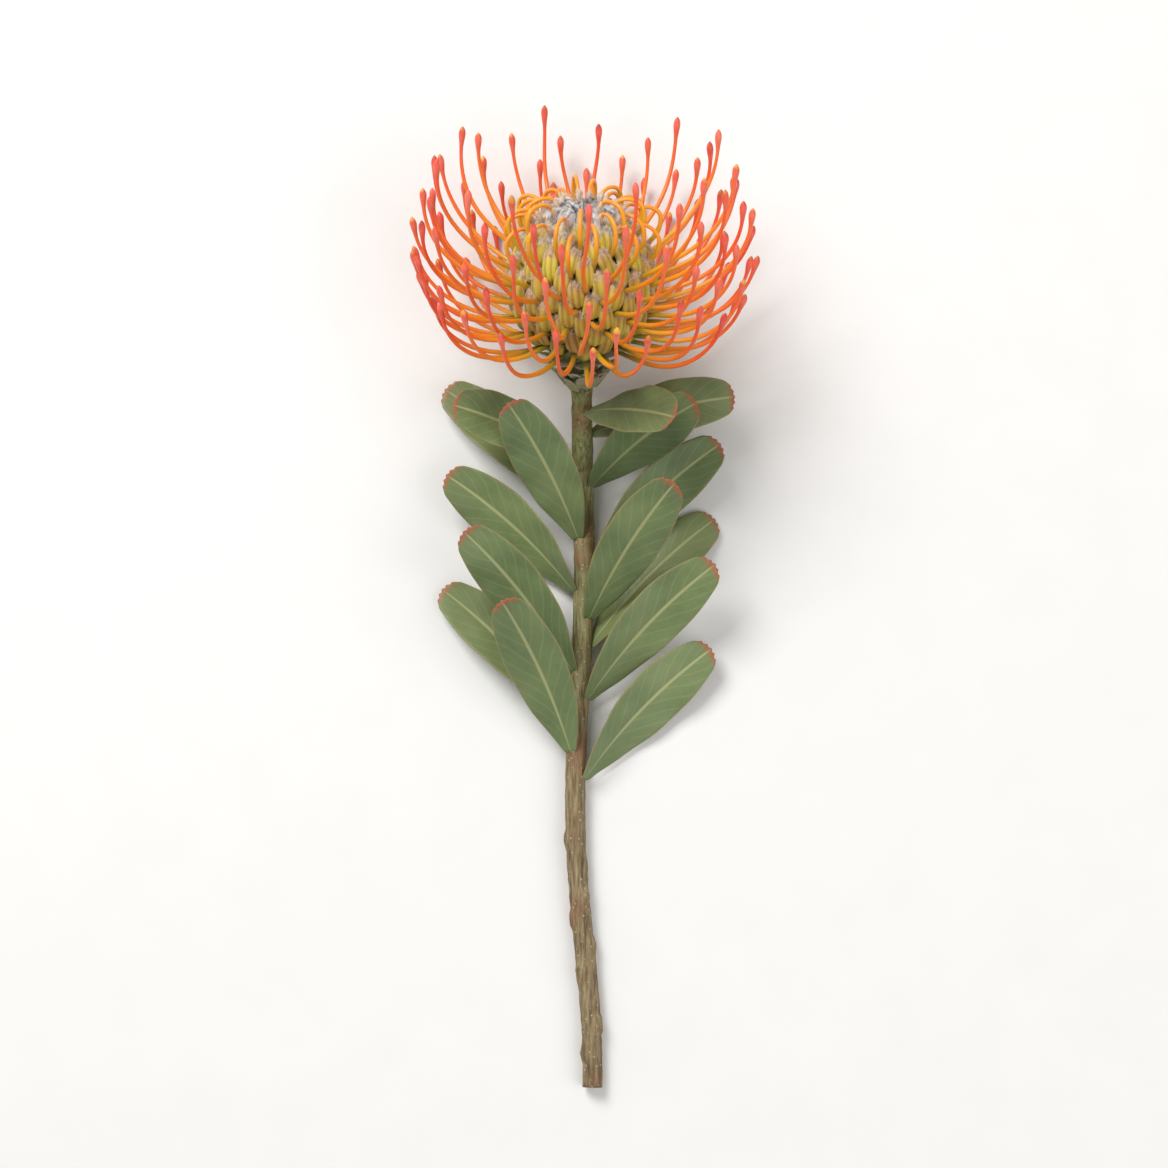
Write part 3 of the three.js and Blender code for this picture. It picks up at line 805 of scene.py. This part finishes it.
def leaf_skin():
    """Leathery grey-green with a pale midrib, slanting veins and red-brown teeth."""
    leaf = Finish("leaf")
    edge = leaf.times(leaf.combine("ABSOLUTE", leaf.combine("SUBTRACT", leaf.across, 0.5)), 2)
    mottle = leaf.noise(leaf.own, 500, 3)
    blade = leaf.ramp(
        leaf.noise(leaf.own, 45, 4), (0.3, 0.085, 0.13, 0.045), (0.5, 0.12, 0.18, 0.06),
        (0.72, 0.17, 0.22, 0.08))
    colour = leaf.mix(leaf.times(mottle, 0.35), blade, (0.22, 0.27, 0.13))
    wander = leaf.times(leaf.noise(leaf.own, 60, 1), 0.9)
    slant = leaf.combine("MULTIPLY_ADD", leaf.along, 9, leaf.combine("MULTIPLY_ADD", edge, -2.4, wander))
    wave = leaf.combine("SINE", leaf.times(slant, math.tau))
    midrib = leaf.fade(edge, (0.03, 1), (0.08, 0))
    lines = leaf.combine("MAXIMUM", midrib, leaf.fade(wave, (0.75, 0), (1, 0.17)))
    colour = leaf.mix(leaf.times(lines, 0.75), colour, (0.42, 0.43, 0.19))
    colour = leaf.mix(leaf.fade(edge, (0.93, 0), (1, 0.6)), colour, (0.4, 0.22, 0.08))
    colour = leaf.mix(leaf.fade(leaf.along, (0.955, 0), (0.995, 0.9)), colour, (0.38, 0.07, 0.03))
    colour = leaf.mix(leaf.times(leaf.tone(), 0.3), colour, (0.24, 0.24, 0.07))
    leaf.bump(leaf.combine("SUBTRACT", leaf.times(mottle, 0.3), lines), 0.35, 0.0004)
    return leaf.done(colour, leaf.fade(mottle, (0.3, 0.42), (0.7, 0.6)), sheen_weight=0.12)


def table_top():
    table = Finish("pale table")
    grain = table.noise(table.own, 40)
    return table.done(table.ramp(grain, (0, 0.8, 0.79, 0.77), (1, 0.84, 0.83, 0.81)), 0.7)


PIN = pin_flesh()
ROLL = sheath_skin()
BUD_SKIN = bud_skin()
CAP = cap_felt()
BRACT = bract_skin()
BARK = stem_bark()
CUT_WOOD = cut_wood()
LEAF = leaf_skin()
MAUVE_WOOL = fine_wool("mauve wool", (0.5, 0.33, 0.27), (0.9, 0.8, 0.74))
SILVER_WOOL = fine_wool("silver wool", (0.42, 0.4, 0.46), (0.93, 0.91, 0.9))


# Styles

def pin(name, outline, colour_end):
    piece = rod(name, smooth_outline(outline, STYLE_LENGTH, PIN_RINGS), PIN_SIDES)
    dress(piece, STYLE_LENGTH / colour_end, turn_about, PIN)
    return piece


def woolly_cap():
    """The tip of the sheath that still holds a looped style."""
    piece = rod("cap", [(share * STYLE_LENGTH, radius) for share, radius in CAP_OUTLINE], CAP_SIDES)
    dress(piece, STYLE_LENGTH, turn_about, CAP)
    draw = random.Random(41)
    roots = []
    for _ in range(CAP_HAIRS):
        along = draw.uniform(*CAP_WOOL_ENDS)
        out = away_from_axis(draw.uniform(0, math.tau))
        run = Vector((draw.uniform(-1, 1.4), 0, 0)) + out * draw.uniform(0.3, 1)
        root = Vector((along * STYLE_LENGTH, 0, 0)) + out * CAP_WOOL_RADIUS
        roots.append((root, run, draw.uniform(*CAP_HAIR_LENGTHS)))
    return joined([piece, hairs(roots, 42, 0.055, 0.35, STYLE_LENGTH, MAUVE_WOOL)], "woolly cap")


def style_root(floret):
    return floret.offset(floret.root, STYLE_STRIP_HEIGHT, -STYLE_ROOT_DROP)


def open_pin_line(floret):
    """The style leaves the dome under its own roll, runs out and then turns up."""
    i = floret.number
    x, y = floret.offset(floret.dome, 0, -STYLE_EXIT_DROP)
    length = STYLE_LENGTH * (1 + STYLE_LENGTH_VARIES * irregular(i, 1)) - KNOB_LENGTH
    first = mix(*STYLE_FIRST_ANGLES, floret.climb ** FIRST_ANGLE_DELAY)
    last = mix(*STYLE_LAST_ANGLES, floret.climb) + STYLE_ANGLE_VARIES * irregular(i, 2)
    drift = math.radians(STYLE_TURN_VARIES * irregular(i, 3))
    root = style_root(floret)
    line = [(*root, 0), (0.5 * (root[0] + x), 0.5 * (root[1] + y), 0), (x, y, 0)]
    for step in range(PIN_STEPS):
        share = (step + 0.5) / PIN_STEPS
        angle = math.radians(mix(first, last, share ** STYLE_CURL_DELAY))
        x += math.cos(angle) * length / PIN_STEPS
        y += math.sin(angle) * length / PIN_STEPS
        wander = PIN_WANDER * irregular(i, 22) * math.sin(math.pi * share) ** 2 / max(x, DOME_RADIUS)
        line.append((x, y, drift * share + wander))
    tip = math.radians(last)
    line.append((x + math.cos(tip) * KNOB_LENGTH, y + math.sin(tip) * KNOB_LENGTH, drift))
    return line


def looped_pin_line(floret):
    """The style is still caught at its tip, so it bows out and comes back."""
    reach = LOOP_REACH + LOOP_REACH_VARIES * irregular(floret.number, 4)
    bow = [(*floret.offset(floret.dome, share * reach, upward), 0) for share, upward in LOOP_BOW]
    return smooth_line([(*style_root(floret), 0), *bow], PIN_STEPS)


def style(floret, masters):
    looped = floret.number >= FIRST_LOOP
    line = looped_pin_line(floret) if looped else open_pin_line(floret)
    points = [laid_in_head(in_head(x, y, floret.azimuth + turn), KNOB_RADIUS) for x, y, turn in line]
    piece = own_copy(masters[looped], "pin")
    bend_along(piece, points, twist="MINIMUM")
    mark_tone(piece, uneven_share(floret.number, 11) * (LOOP_PALENESS if looped else 1))
    place(piece, HEAD)
    return piece


def style_rows():
    looped = joined([pin("looped pin", LOOP_OUTLINE, LOOP_COLOUR_END), woolly_cap()], "capped pin")
    masters = (pin("open pin", PIN_OUTLINE, 1), looped)
    for row in range(ROWS):
        members = [style(Floret(row + ROWS * k), masters) for k in range(FLORETS_PER_ROW)]
        piece = joined(members, f"pins_{row + 1:02d}")
        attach(piece, "root")
        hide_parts(f"style_row_{row + 1:02d}")
    discard(*masters)


# Perianths

def ribbed_sheath(ribs):
    """A straight sheath along x: its ribs outward, its edges turned in, its tip split into points."""
    piece = flat_sheet(ROLL_LENGTH, 2 * ROLL_HALF_WIDTH, ROLL_STEPS, ROLL_COLUMNS, turn=90)
    start_shaping(piece)
    for column in range(ROLL_COLUMNS + 1):
        across = 2 * column / ROLL_COLUMNS - 1
        select_row(piece, 2, across * ROLL_HALF_WIDTH)
        rib = RIB_DEPTH * 0.5 * (1 + math.cos(ribs * math.pi * across))
        arch = ROLL_ARCH * across * across
        shift(0, arch - rib, 0)
        squeeze(1, 1, 1 - ROLL_PINCH * across * across)
    select_where(piece, "FACE", lambda point: point.x > TIP_SPLIT * ROLL_LENGTH
                 and abs(abs(point.z) / ROLL_HALF_WIDTH - SPLIT_PLACE) < SPLIT_HALF_WIDTH)
    bpy.ops.mesh.delete(type="FACE")
    stop_shaping()
    dress(piece, ROLL_LENGTH, lambda point: 0.5 + ribs / 6 * point.z / ROLL_HALF_WIDTH, ROLL)
    thicken(piece, ROLL_THICKNESS, rounded=False)
    return piece


def sheath_wool(seed, wool):
    """Wool on the last of the sheath, on its outer face and its points."""
    draw = random.Random(seed)
    roots = []
    for _ in range(SHEATH_HAIRS):
        across = draw.uniform(-0.85, 0.85)
        along = draw.uniform(SHEATH_WOOL_START, 1)
        root = Vector((along * ROLL_LENGTH, ROLL_ARCH * across * across - 0.2, across * ROLL_HALF_WIDTH))
        run = Vector((draw.uniform(0.4, 1.4), draw.uniform(-1, -0.2), draw.uniform(-0.6, 0.6)))
        roots.append((root, run, draw.uniform(*SHEATH_HAIR_LENGTHS)))
    return hairs(roots, seed + 1, 0.07, 0.55, ROLL_LENGTH, wool)


def woolly_sheath(ribs, wool):
    return joined([ribbed_sheath(ribs), sheath_wool(5 + 10 * ribs, wool)], "woolly sheath")


def bronze_tone(floret):
    """Bronze low on the dome and green towards the crown."""
    tone = LOWEST_BRONZE - BRONZE_FADES * floret.climb + BRONZE_VARIES * irregular(floret.number, 14)
    return min(1, max(0, tone))


def perianth_lean(floret):
    """A small turn about the direction in which the dome faces there."""
    turn = math.radians(ROLL_TURN_VARIES) * irregular(floret.number, 15)
    middle = Vector((*floret.dome, 0))
    lean = Matrix.Rotation(turn, 4, (*floret.normal, 0))
    return Matrix.Translation(middle) @ lean @ Matrix.Translation(-middle)


def perianth(floret, masters):
    i = floret.number
    caught = i >= FIRST_LOOP
    swell = 1 + ROLL_SIZE_VARIES * irregular(i, 12)
    outline = CAUGHT_LINE if caught else ROLL_LINE
    curl = [floret.offset(floret.dome, swell * outward, swell * upward) for outward, upward in outline]
    root = floret.offset(floret.root, ROLL_ROOT_HEIGHT, 0)
    line = smooth_line([(*point, 0) for point in (root, *curl)], ROLL_STEPS)
    width = 1 + ROLL_WIDTH_VARIES * irregular(i, 13)
    shares = smooth_values(CAUGHT_SHARES if caught else ROLL_SHARES, ROLL_STEPS)
    piece = own_copy(masters[caught][irregular(i, 23) > 0.2], "roll")
    bend_along(piece, line, [width * share for share in shares])
    mark_tone(piece, bronze_tone(floret))
    place(piece, HEAD @ Matrix.Rotation(floret.azimuth, 4, "Z") @ UPRIGHT @ perianth_lean(floret))
    return piece


def perianth_rows():
    masters = [[woolly_sheath(ribs, wool) for ribs in (3, 2)] for wool in (MAUVE_WOOL, SILVER_WOOL)]
    for row in range(ROWS):
        members = [perianth(Floret(row + ROWS * k), masters) for k in range(FLORETS_PER_ROW)]
        piece = joined(members, f"rolls_{row + 1:02d}")
        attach(piece, "root")
        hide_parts(f"perianth_row_{row + 1:02d}")
    discard(*masters[0], *masters[1])


# Crown buds

def bud_master(wool_start, wool_hairs):
    """A ribbed stalk with a club-shaped head, and silver wool that lies along the head."""
    body = rod("bud", smooth_outline(BUD_OUTLINE, BUD_LENGTH, BUD_RINGS), BUD_SIDES)
    press_in_grooves(body)
    dress(body, BUD_LENGTH, turn_about, BUD_SKIN)
    draw = random.Random(21)
    roots = []
    for _ in range(wool_hairs):
        along = draw.uniform(wool_start, 0.97)
        out = away_from_axis(draw.randrange(BUD_RIBS) * math.tau / BUD_RIBS + draw.uniform(-0.42, 0.42))
        root = Vector((along * BUD_LENGTH, 0, 0)) + out * BUD_WOOL_RADII[along >= BUD_SHOULDER]
        run = Vector((1, 0, 0)) + out * draw.uniform(0.02, 0.22)
        roots.append((root, run, draw.uniform(*BUD_HAIR_LENGTHS)))
    return joined([body, hairs(roots, 22, 0.075, 0.12, BUD_LENGTH, SILVER_WOOL)], "woolly bud")


def press_in_grooves(piece):
    """Four long grooves where the bud will split."""
    start_shaping(piece)
    select_where(piece, "VERT", lambda point: math.cos(BUD_RIBS * math.atan2(point.y, point.z)) < -0.5)
    squeeze(1, BUD_GROOVE, BUD_GROOVE)
    stop_shaping()


def crown_bud(master, line, azimuth, lift, size=1, spread=1):
    """One bud: its line is lifted and spread, and its thickness is a share of the master's."""
    points = [(radius * spread, height + lift, 0) for radius, height in line]
    piece = own_copy(master, "bud")
    bend_along(piece, smooth_line(points, PIN_STEPS), [size] * (PIN_STEPS + 1))
    place(piece, HEAD @ Matrix.Rotation(azimuth, 4, "Z") @ UPRIGHT)
    return piece


def crown_buds():
    """Eight buds, each with a smaller one beside it, a stunted one within and a greener one outside."""
    silvery = bud_master(BUD_WOOL_START, BUD_HAIRS)
    greener = bud_master(GREEN_BUD_WOOL_START, GREEN_BUD_HAIRS)
    for number in range(CROWN_BUDS):
        lift = BUD_HEIGHT_VARIES * irregular(number, 5)
        uneven = [irregular(number, kind) for kind in (24, 25, 26, 27)]
        azimuth = number * math.tau / CROWN_BUDS
        beside = azimuth + math.pi / CROWN_BUDS * (1 + SMALL_BUD_TURN_VARIES * irregular(number, 21))
        outside = Floret(FLORETS - CROWN_BUDS + number).azimuth + math.radians(OUTER_BUD_TURN)
        small = SMALL_BUD_SIZE + SMALL_BUD_SIZE_VARIES * uneven[0]
        small_lift = SMALL_BUD_DROP_VARIES * uneven[2] - SMALL_BUD_DROP
        small_spread = SMALL_BUD_SPREAD + SMALL_BUD_SPREAD_VARIES * uneven[3]
        outer = OUTER_BUD_SIZE + OUTER_BUD_SIZE_VARIES * uneven[1]
        outer_spread = mix(1, LAST_OUTER_BUD_SPREAD, number / (CROWN_BUDS - 1))
        members = [
            crown_bud(silvery, BUD_TURN_IN, azimuth, lift),
            crown_bud(silvery, BUD_TURN_IN, beside, small_lift, small, small_spread),
            crown_bud(silvery, INNER_BUD_LINE, beside, lift, INNER_BUD_SIZE),
            crown_bud(greener, OUTER_BUD_LINE, outside, BUD_HEIGHT_VARIES * uneven[0], outer, outer_spread),
        ]
        piece = joined(members, f"buds_{number + 1}")
        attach(piece, "root")
        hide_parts(f"crown_bud_{number + 1}")
    discard(silvery, greener)


# Bracts

def bract_master():
    """A pointed scale along x, cupped, with a fringe along its edges and down on its outer face."""
    piece = flat_sheet(BRACT_LENGTH, BRACT_WIDTH, BRACT_STEPS, BRACT_COLUMNS)
    start_shaping(piece)
    for step in range(BRACT_STEPS + 1):
        share = step / BRACT_STEPS
        select_row(piece, 0, share * BRACT_LENGTH)
        squeeze(1, bract_width(share), 1, (share * BRACT_LENGTH, 0, 0))
    select_where(piece, "VERT", lambda point: abs(point.y) > 0.3 * BRACT_WIDTH)
    shift(0, 0, BRACT_EDGE_LIFT)
    select_row(piece, 1, 0, reach=0.02)
    shift(0, 0, -BRACT_CREASE)
    stop_shaping()
    dress(piece, BRACT_LENGTH, lambda point: 0.5 + point.y / BRACT_WIDTH, BRACT)
    thicken(piece, BRACT_THICKNESS)
    return joined([piece, bract_hairs()], "scale")


def bract_width(share):
    """Nearly full up to the middle, then drawn in to a point."""
    if share < 0.5:
        return 0.62 + 0.38 * math.sin(math.pi * min(1, share * 1.5))
    return 1.93 * (1 - share) + 0.035


def bract_hairs():
    """A fringe that leans off the edges, and down that lies on the outer face."""
    draw = random.Random(31)
    roots = []
    for _ in range(FRINGE_HAIRS):
        share = draw.uniform(0.1, 0.98)
        side = draw.choice((-1, 1))
        root = Vector((share * BRACT_LENGTH, side * 0.5 * BRACT_WIDTH * bract_width(share) * 0.95, 0.1))
        run = Vector((draw.uniform(0.6, 1.6), side, draw.uniform(-0.4, 0.4)))
        roots.append((root, run, draw.uniform(*FRINGE_HAIR_LENGTHS)))
    for _ in range(DOWN_HAIRS):
        share = draw.uniform(0.05, 0.9)
        across = draw.uniform(-0.8, 0.8)
        root = Vector((share * BRACT_LENGTH, across * 0.5 * BRACT_WIDTH * bract_width(share), -0.15))
        run = Vector((1.4, draw.uniform(-0.4, 0.4), draw.uniform(-0.7, -0.3)))
        roots.append((root, run, draw.uniform(*DOWN_HAIR_LENGTHS)))
    return hairs(roots, 32, 0.04, 0.3, BRACT_LENGTH, SILVER_WOOL)


def bract_line(rank, height, inner):
    """Up and outward from the neck, as the frame's scales go."""
    x = inner + 0.5 * BRACT_RING_THICKNESS
    y = height
    line = [(x, y, 0)]
    for step in range(BRACT_STEPS):
        share = (step + 1) / BRACT_STEPS
        angle = math.radians(mix(mix(*BRACT_FIRST_ANGLES, rank), mix(*BRACT_LAST_ANGLES, rank), share))
        x += math.cos(angle) * BRACT_LENGTH / BRACT_STEPS
        y += math.sin(angle) * BRACT_LENGTH / BRACT_STEPS
        line.append((x, y, 0))
    return line


def bract(master, whorl, number):
    """One scale of a whorl; every other one stands a little higher."""
    rank = whorl / (BRACT_WHORLS - 1)
    height = mix(*BRACT_RING_HEIGHTS, rank)
    place_number = number + 20 * whorl
    lift = BRACT_LIFT_VARIES * irregular(place_number, 17) + BRACT_LIFTS[number % 2]
    piece = own_copy(master, "scale")
    # The width is laid across and the hollow side faces the head's axis
    piece.data.transform(Matrix.Rotation(math.radians(90), 4, "X"))
    bend_along(piece, bract_line(rank, height + lift, neck_radius(height) + BRACT_CLEARANCE))
    azimuth = (number + 0.5 * whorl) * math.tau / SCALES_PER_WHORL
    mark_tone(piece, uneven_share(place_number, 18))
    place(piece, HEAD @ Matrix.Rotation(azimuth, 4, "Z") @ UPRIGHT)
    return piece


def bract_whorls():
    master = bract_master()
    for whorl in range(BRACT_WHORLS):
        members = [bract(master, whorl, number) for number in range(SCALES_PER_WHORL)]
        piece = joined(members, f"bracts_{whorl + 1}")
        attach(piece, "root")
        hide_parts(f"bract_whorl_{whorl + 1}")
    discard(master)


# Stem

def neck_radius(height):
    return mix(STEM_RADIUS, NECK_TOP_RADIUS, smoothstep(height, -NECK_FLARE_LENGTH, 0))


def receptacle_radius(height):
    share = (height - RECEPTACLE_MIDDLE) / RECEPTACLE_HALF
    return RECEPTACLE_RADIUS * math.sqrt(max(0, 1 - share * share))


def stem_radius(station):
    return STEM_RADIUS * mix(*STEM_TAPER, station / STEM_LENGTH)


def stem_rise(station):
    return mix(HEAD_RISE, STEM_RISE, smoothstep(station, NECK_STRAIGHT, NECK_STRAIGHT + NECK_LENGTH))


def stem_point(station):
    """The stem's line: from the head's base back and down, then along the table."""
    point = HEAD_BASE.copy()
    gone = 0
    while gone < station:
        step = min(STEM_STRIDE, station - gone)
        angle = math.radians(stem_rise(gone + 0.5 * step))
        point.y -= step * math.cos(angle)
        point.z -= step * math.sin(angle)
        gone += STEM_STRIDE
    swing = max(0, station - NECK_STRAIGHT) / (STEM_LENGTH - NECK_STRAIGHT)
    point.x += STEM_SWAY * math.sin(STEM_BENDS * math.pi * swing) * swing
    return point


def stem_direction(station):
    return (stem_point(max(0, station - 1)) - stem_point(station + 1)).normalized()


def stem_outline():
    """Rings from the cut end to the top of the receptacle, a little uneven as bark is."""
    outline = []
    for ring in range(int(STEM_LENGTH / STEM_RING) + 1):
        x = ring * STEM_RING
        station = STEM_LENGTH - x
        radius = stem_radius(station) if station > NECK_FLARE_LENGTH else neck_radius(-station)
        outline.append((x, radius * (1 + BARK_UNEVEN * irregular(ring, 19))))
    for height in RECEPTACLE_HEIGHTS:
        outline.append((STEM_LENGTH + height, receptacle_radius(height)))
    return outline


def woody_stem():
    piece = rod("woody_stem", stem_outline(), STEM_SIDES)
    cut_the_end(piece)
    dress(piece, STEM_LENGTH + RECEPTACLE_HEIGHTS[-1], turn_about, BARK)
    piece.data.materials.append(CUT_WOOD)
    for scar in range(STEM_SCARS):
        raise_scar(piece, scar)
    line = [stem_point(STEM_LENGTH - STEM_RING * ring) for ring in range(int(STEM_LENGTH / STEM_RING))]
    line += [HEAD @ Vector((0, 0, height)) for height in (0, *RECEPTACLE_HEIGHTS)]
    bend_along(piece, line, twist="MINIMUM")
    place(piece, Matrix.Identity(4))
    rest_on_table(piece)
    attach(piece, "root")
    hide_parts("stem")


def rest_on_table(piece):
    """Press flat what would reach below the table."""
    start_shaping(piece)
    select_where(piece, "VERT", lambda point: point.z < TABLE_CLEARANCE)
    squeeze(1, 1, 0, (0, 0, TABLE_CLEARANCE))
    stop_shaping()


def cut_the_end(piece):
    """A straight, slightly hollow cut with the bark as a thin rim round it."""
    start_shaping(piece)
    select_where(piece, "FACE", lambda centre: centre.x < 0.01)
    for rim, depth in ((BARK_RIM, 0.15), (2, 0.3)):
        bpy.ops.mesh.inset(thickness=rim, depth=0)
        bpy.ops.mesh.extrude_region_move(TRANSFORM_OT_translate={"value": (depth, 0, 0)})
    stop_shaping()
    for face in piece.data.polygons:
        from_middle = math.hypot(face.center.y, face.center.z)
        if face.center.x < 0.6 and abs(face.normal.x) > 0.7 and from_middle < CUT_WOOD_RADIUS:
            face.material_index = 1
            face.use_smooth = False


def raise_scar(piece, number):
    """A cushion where a leaf has dropped, raised in three steps towards its middle."""
    x = FIRST_SCAR + number * SCAR_SPACING
    out = away_from_axis(number * math.radians(GOLDEN_ANGLE))
    start_shaping(piece)
    for narrower in SCAR_STEPS:
        select_where(piece, "VERT", lambda point: abs(point.x - x) < narrower * SCAR_LENGTH
                     and Vector((0, point.y, point.z)).normalized().dot(out) > 1 - 0.5 * narrower)
        shift(*out * SCAR_HEIGHT)
    stop_shaping()


# Leaves

def leaf_master():
    """A straight blade along x with a sunk midrib, cupped edges and teeth at its tip."""
    piece = flat_sheet(LEAF_LENGTH, LEAF_WIDTH, LEAF_STEPS, LEAF_COLUMNS)
    dress(piece, LEAF_LENGTH, lambda point: 0.5 + point.y / LEAF_WIDTH, LEAF)
    start_shaping(piece)
    for column in range(LEAF_COLUMNS + 1):
        across = 2 * column / LEAF_COLUMNS - 1
        select_row(piece, 1, across * 0.5 * LEAF_WIDTH)
        groove = LEAF_GROOVE if column == LEAF_COLUMNS // 2 else 0
        shift(0, 0, LEAF_CUP * across * across - groove)
    for step in range(LEAF_STEPS + 1):
        x = step / LEAF_STEPS * LEAF_LENGTH
        for side in (-1, 1):
            select_where(piece, "VERT", lambda point: abs(point.x - x) < 0.01
                         and side * point.y > 0.3 * LEAF_WIDTH)
            shift(0, 0, LEAF_RIPPLE * math.sin(LEAF_RIPPLE_RATE * x + 2 * side))
        select_row(piece, 0, x)
        width = leaf_width(step / LEAF_STEPS)
        squeeze(1, width, width, (x, 0, 0))
    shape_leaf_tip(piece)
    stop_shaping()
    thicken(piece, BLADE_THICKNESS)
    return piece


def leaf_width(share):
    return smooth_values(LEAF_SHARES, LEAF_STEPS)[round(share * LEAF_STEPS)]


def shape_leaf_tip(piece):
    """Round the end off and draw every other point of it out into a tooth."""
    for column in range(LEAF_COLUMNS + 1):
        across = 2 * column / LEAF_COLUMNS - 1
        y = across * 0.5 * LEAF_WIDTH * LEAF_SHARES[-1]
        select_where(piece, "VERT", lambda point: point.x > LEAF_LENGTH - 0.1 and abs(point.y - y) < 0.05)
        tooth = LEAF_TOOTH if column % 2 else -LEAF_NOTCH
        shift(tooth - LEAF_TIP_ROUND * across * across, 0, 0)


def run_at(spine, j):
    """Which way a line of points runs at its point j."""
    return (spine[min(j + 1, len(spine) - 1)] - spine[max(j - 1, 0)]).normalized()


def leaf_side(spine, j, outward, along):
    """The blade faces the stem at its foot and turns to lie flat towards its tip."""
    edge = along.cross(outward)
    level = Vector((0, 0, 1)).cross(run_at(spine, j))
    if level.dot(edge) < 0:
        level.negate()
    return edge.lerp(level, mix(*LEAF_LEVELLING, j / (len(spine) - 1))).normalized()


def leaf_line(number):
    """The line that a leaf's midrib follows, and the way its width lies at each point."""
    lower = min(1, number / FULL_SIZE_LEAF)
    station = FIRST_LEAF_STATION + LEAF_SPACING * number
    along = stem_direction(station)
    turn = math.radians(number * GOLDEN_ANGLE + LEAF_FIRST_TURN)
    sideward = math.copysign(max(LEAST_SPREAD, abs(math.sin(turn))), math.sin(turn))
    outward = Vector((sideward, 0, mix(*LEAF_LIFTS, 0.5 + 0.5 * math.cos(turn))))
    outward = (outward - along * outward.dot(along)).normalized()
    growth = 1 + LEAF_LENGTH_VARIES * irregular(number, 6)
    stride = LEAF_LENGTH * mix(TOP_LEAF_LENGTH, 1, lower) * growth / LEAF_LINE_STEPS
    tilt = LEAF_ANGLE_VARIES * irregular(number, 8)
    first = math.radians(mix(*LEAF_FOOT_ANGLES, lower) + tilt)
    last = math.radians(mix(*LEAF_TIP_ANGLES, lower) + tilt)
    spine = [stem_point(station) + outward * LEAF_FOOT_DEPTH * stem_radius(station)]
    for step in range(LEAF_LINE_STEPS):
        angle = mix(first, last, (step + 0.5) / LEAF_LINE_STEPS)
        spine.append(spine[-1] + outward * math.sin(angle) * stride + along * math.cos(angle) * stride)
    sides = [leaf_side(spine, j, outward, along) for j in range(len(spine))]
    for j, point in enumerate(spine):
        half_width = 0.5 * LEAF_WIDTH * leaf_width(j / LEAF_LINE_STEPS)
        point.z = soft_height(point.z, 0.5 * LEAF_THICKNESS + abs(sides[j].z) * half_width)
    return spine, sides


def leaf_tilts(spine, sides):
    """How far each side is turned about the line from lying level."""
    tilts = []
    for j, side in enumerate(sides):
        run = run_at(spine, j)
        level = Vector((0, 0, 1)).cross(run).normalized()
        above = run.cross(level)
        across = side if side.dot(level) > 0 else -side
        tilts.append(math.atan2(across.dot(above), across.dot(level)))
    return tilts


def leaves():
    master = leaf_master()
    for number in range(LEAVES):
        spine, sides = leaf_line(number)
        piece = own_copy(master, f"leaf_blade_{number + 1:02d}")
        bend_along(piece, spine, tilts=leaf_tilts(spine, sides))
        mark_tone(piece, uneven_share(number, 20))
        place(piece, Matrix.Identity(4))
        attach(piece, "root")
        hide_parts(f"leaf_{number + 1:02d}")
    discard(master)


# Camera, light and floor

def pointed_along(direction):
    """The turn that points a camera or a light along a direction."""
    return direction.to_track_quat("-Z", "Y").to_euler()


def set_camera():
    centre = 0.5 * (CAD_BOX[0] + CAD_BOX[1])
    elevation = math.radians(CAMERA_ELEVATION)
    back = Vector((0, -math.cos(elevation), math.sin(elevation)))
    data = bpy.data.cameras.new("camera")
    data.lens = CAMERA_LENS
    camera = bpy.data.objects.new("camera", data)
    camera.location = centre + back * CAMERA_DISTANCE
    camera.rotation_euler = pointed_along(-back)
    bpy.context.collection.objects.link(camera)
    bpy.context.scene.camera = camera


def add_light(name, location, size, power):
    """A soft square light that points at the head."""
    data = bpy.data.lights.new(name, "AREA")
    data.size = size
    data.energy = power
    light = bpy.data.objects.new(name, data)
    light.location = location
    light.rotation_euler = pointed_along(Vector((0, 0.05, 0)) - Vector(location))
    bpy.context.collection.objects.link(light)


def set_stage():
    world = bpy.data.worlds.new("studio")
    world.use_nodes = True
    backdrop = world.node_tree.nodes["Background"]
    backdrop.inputs["Color"].default_value = (1, 1, 1, 1)
    backdrop.inputs["Strength"].default_value = 0.42
    bpy.context.scene.world = world
    add_light("key", (-0.7, 0.9, 1.3), 0.8, 25)
    add_light("fill", (0.9, -0.5, 1.1), 1.2, 8)
    bpy.ops.object.select_all(action="DESELECT")
    bpy.ops.mesh.primitive_plane_add(size=6)
    floor = bpy.context.active_object
    floor.name = "floor"
    floor.data.materials.append(table_top())
    bpy.context.scene.view_settings.view_transform = "Standard"


set_camera()
set_stage()
style_rows()
perianth_rows()
crown_buds()
bract_whorls()
woody_stem()
leaves()
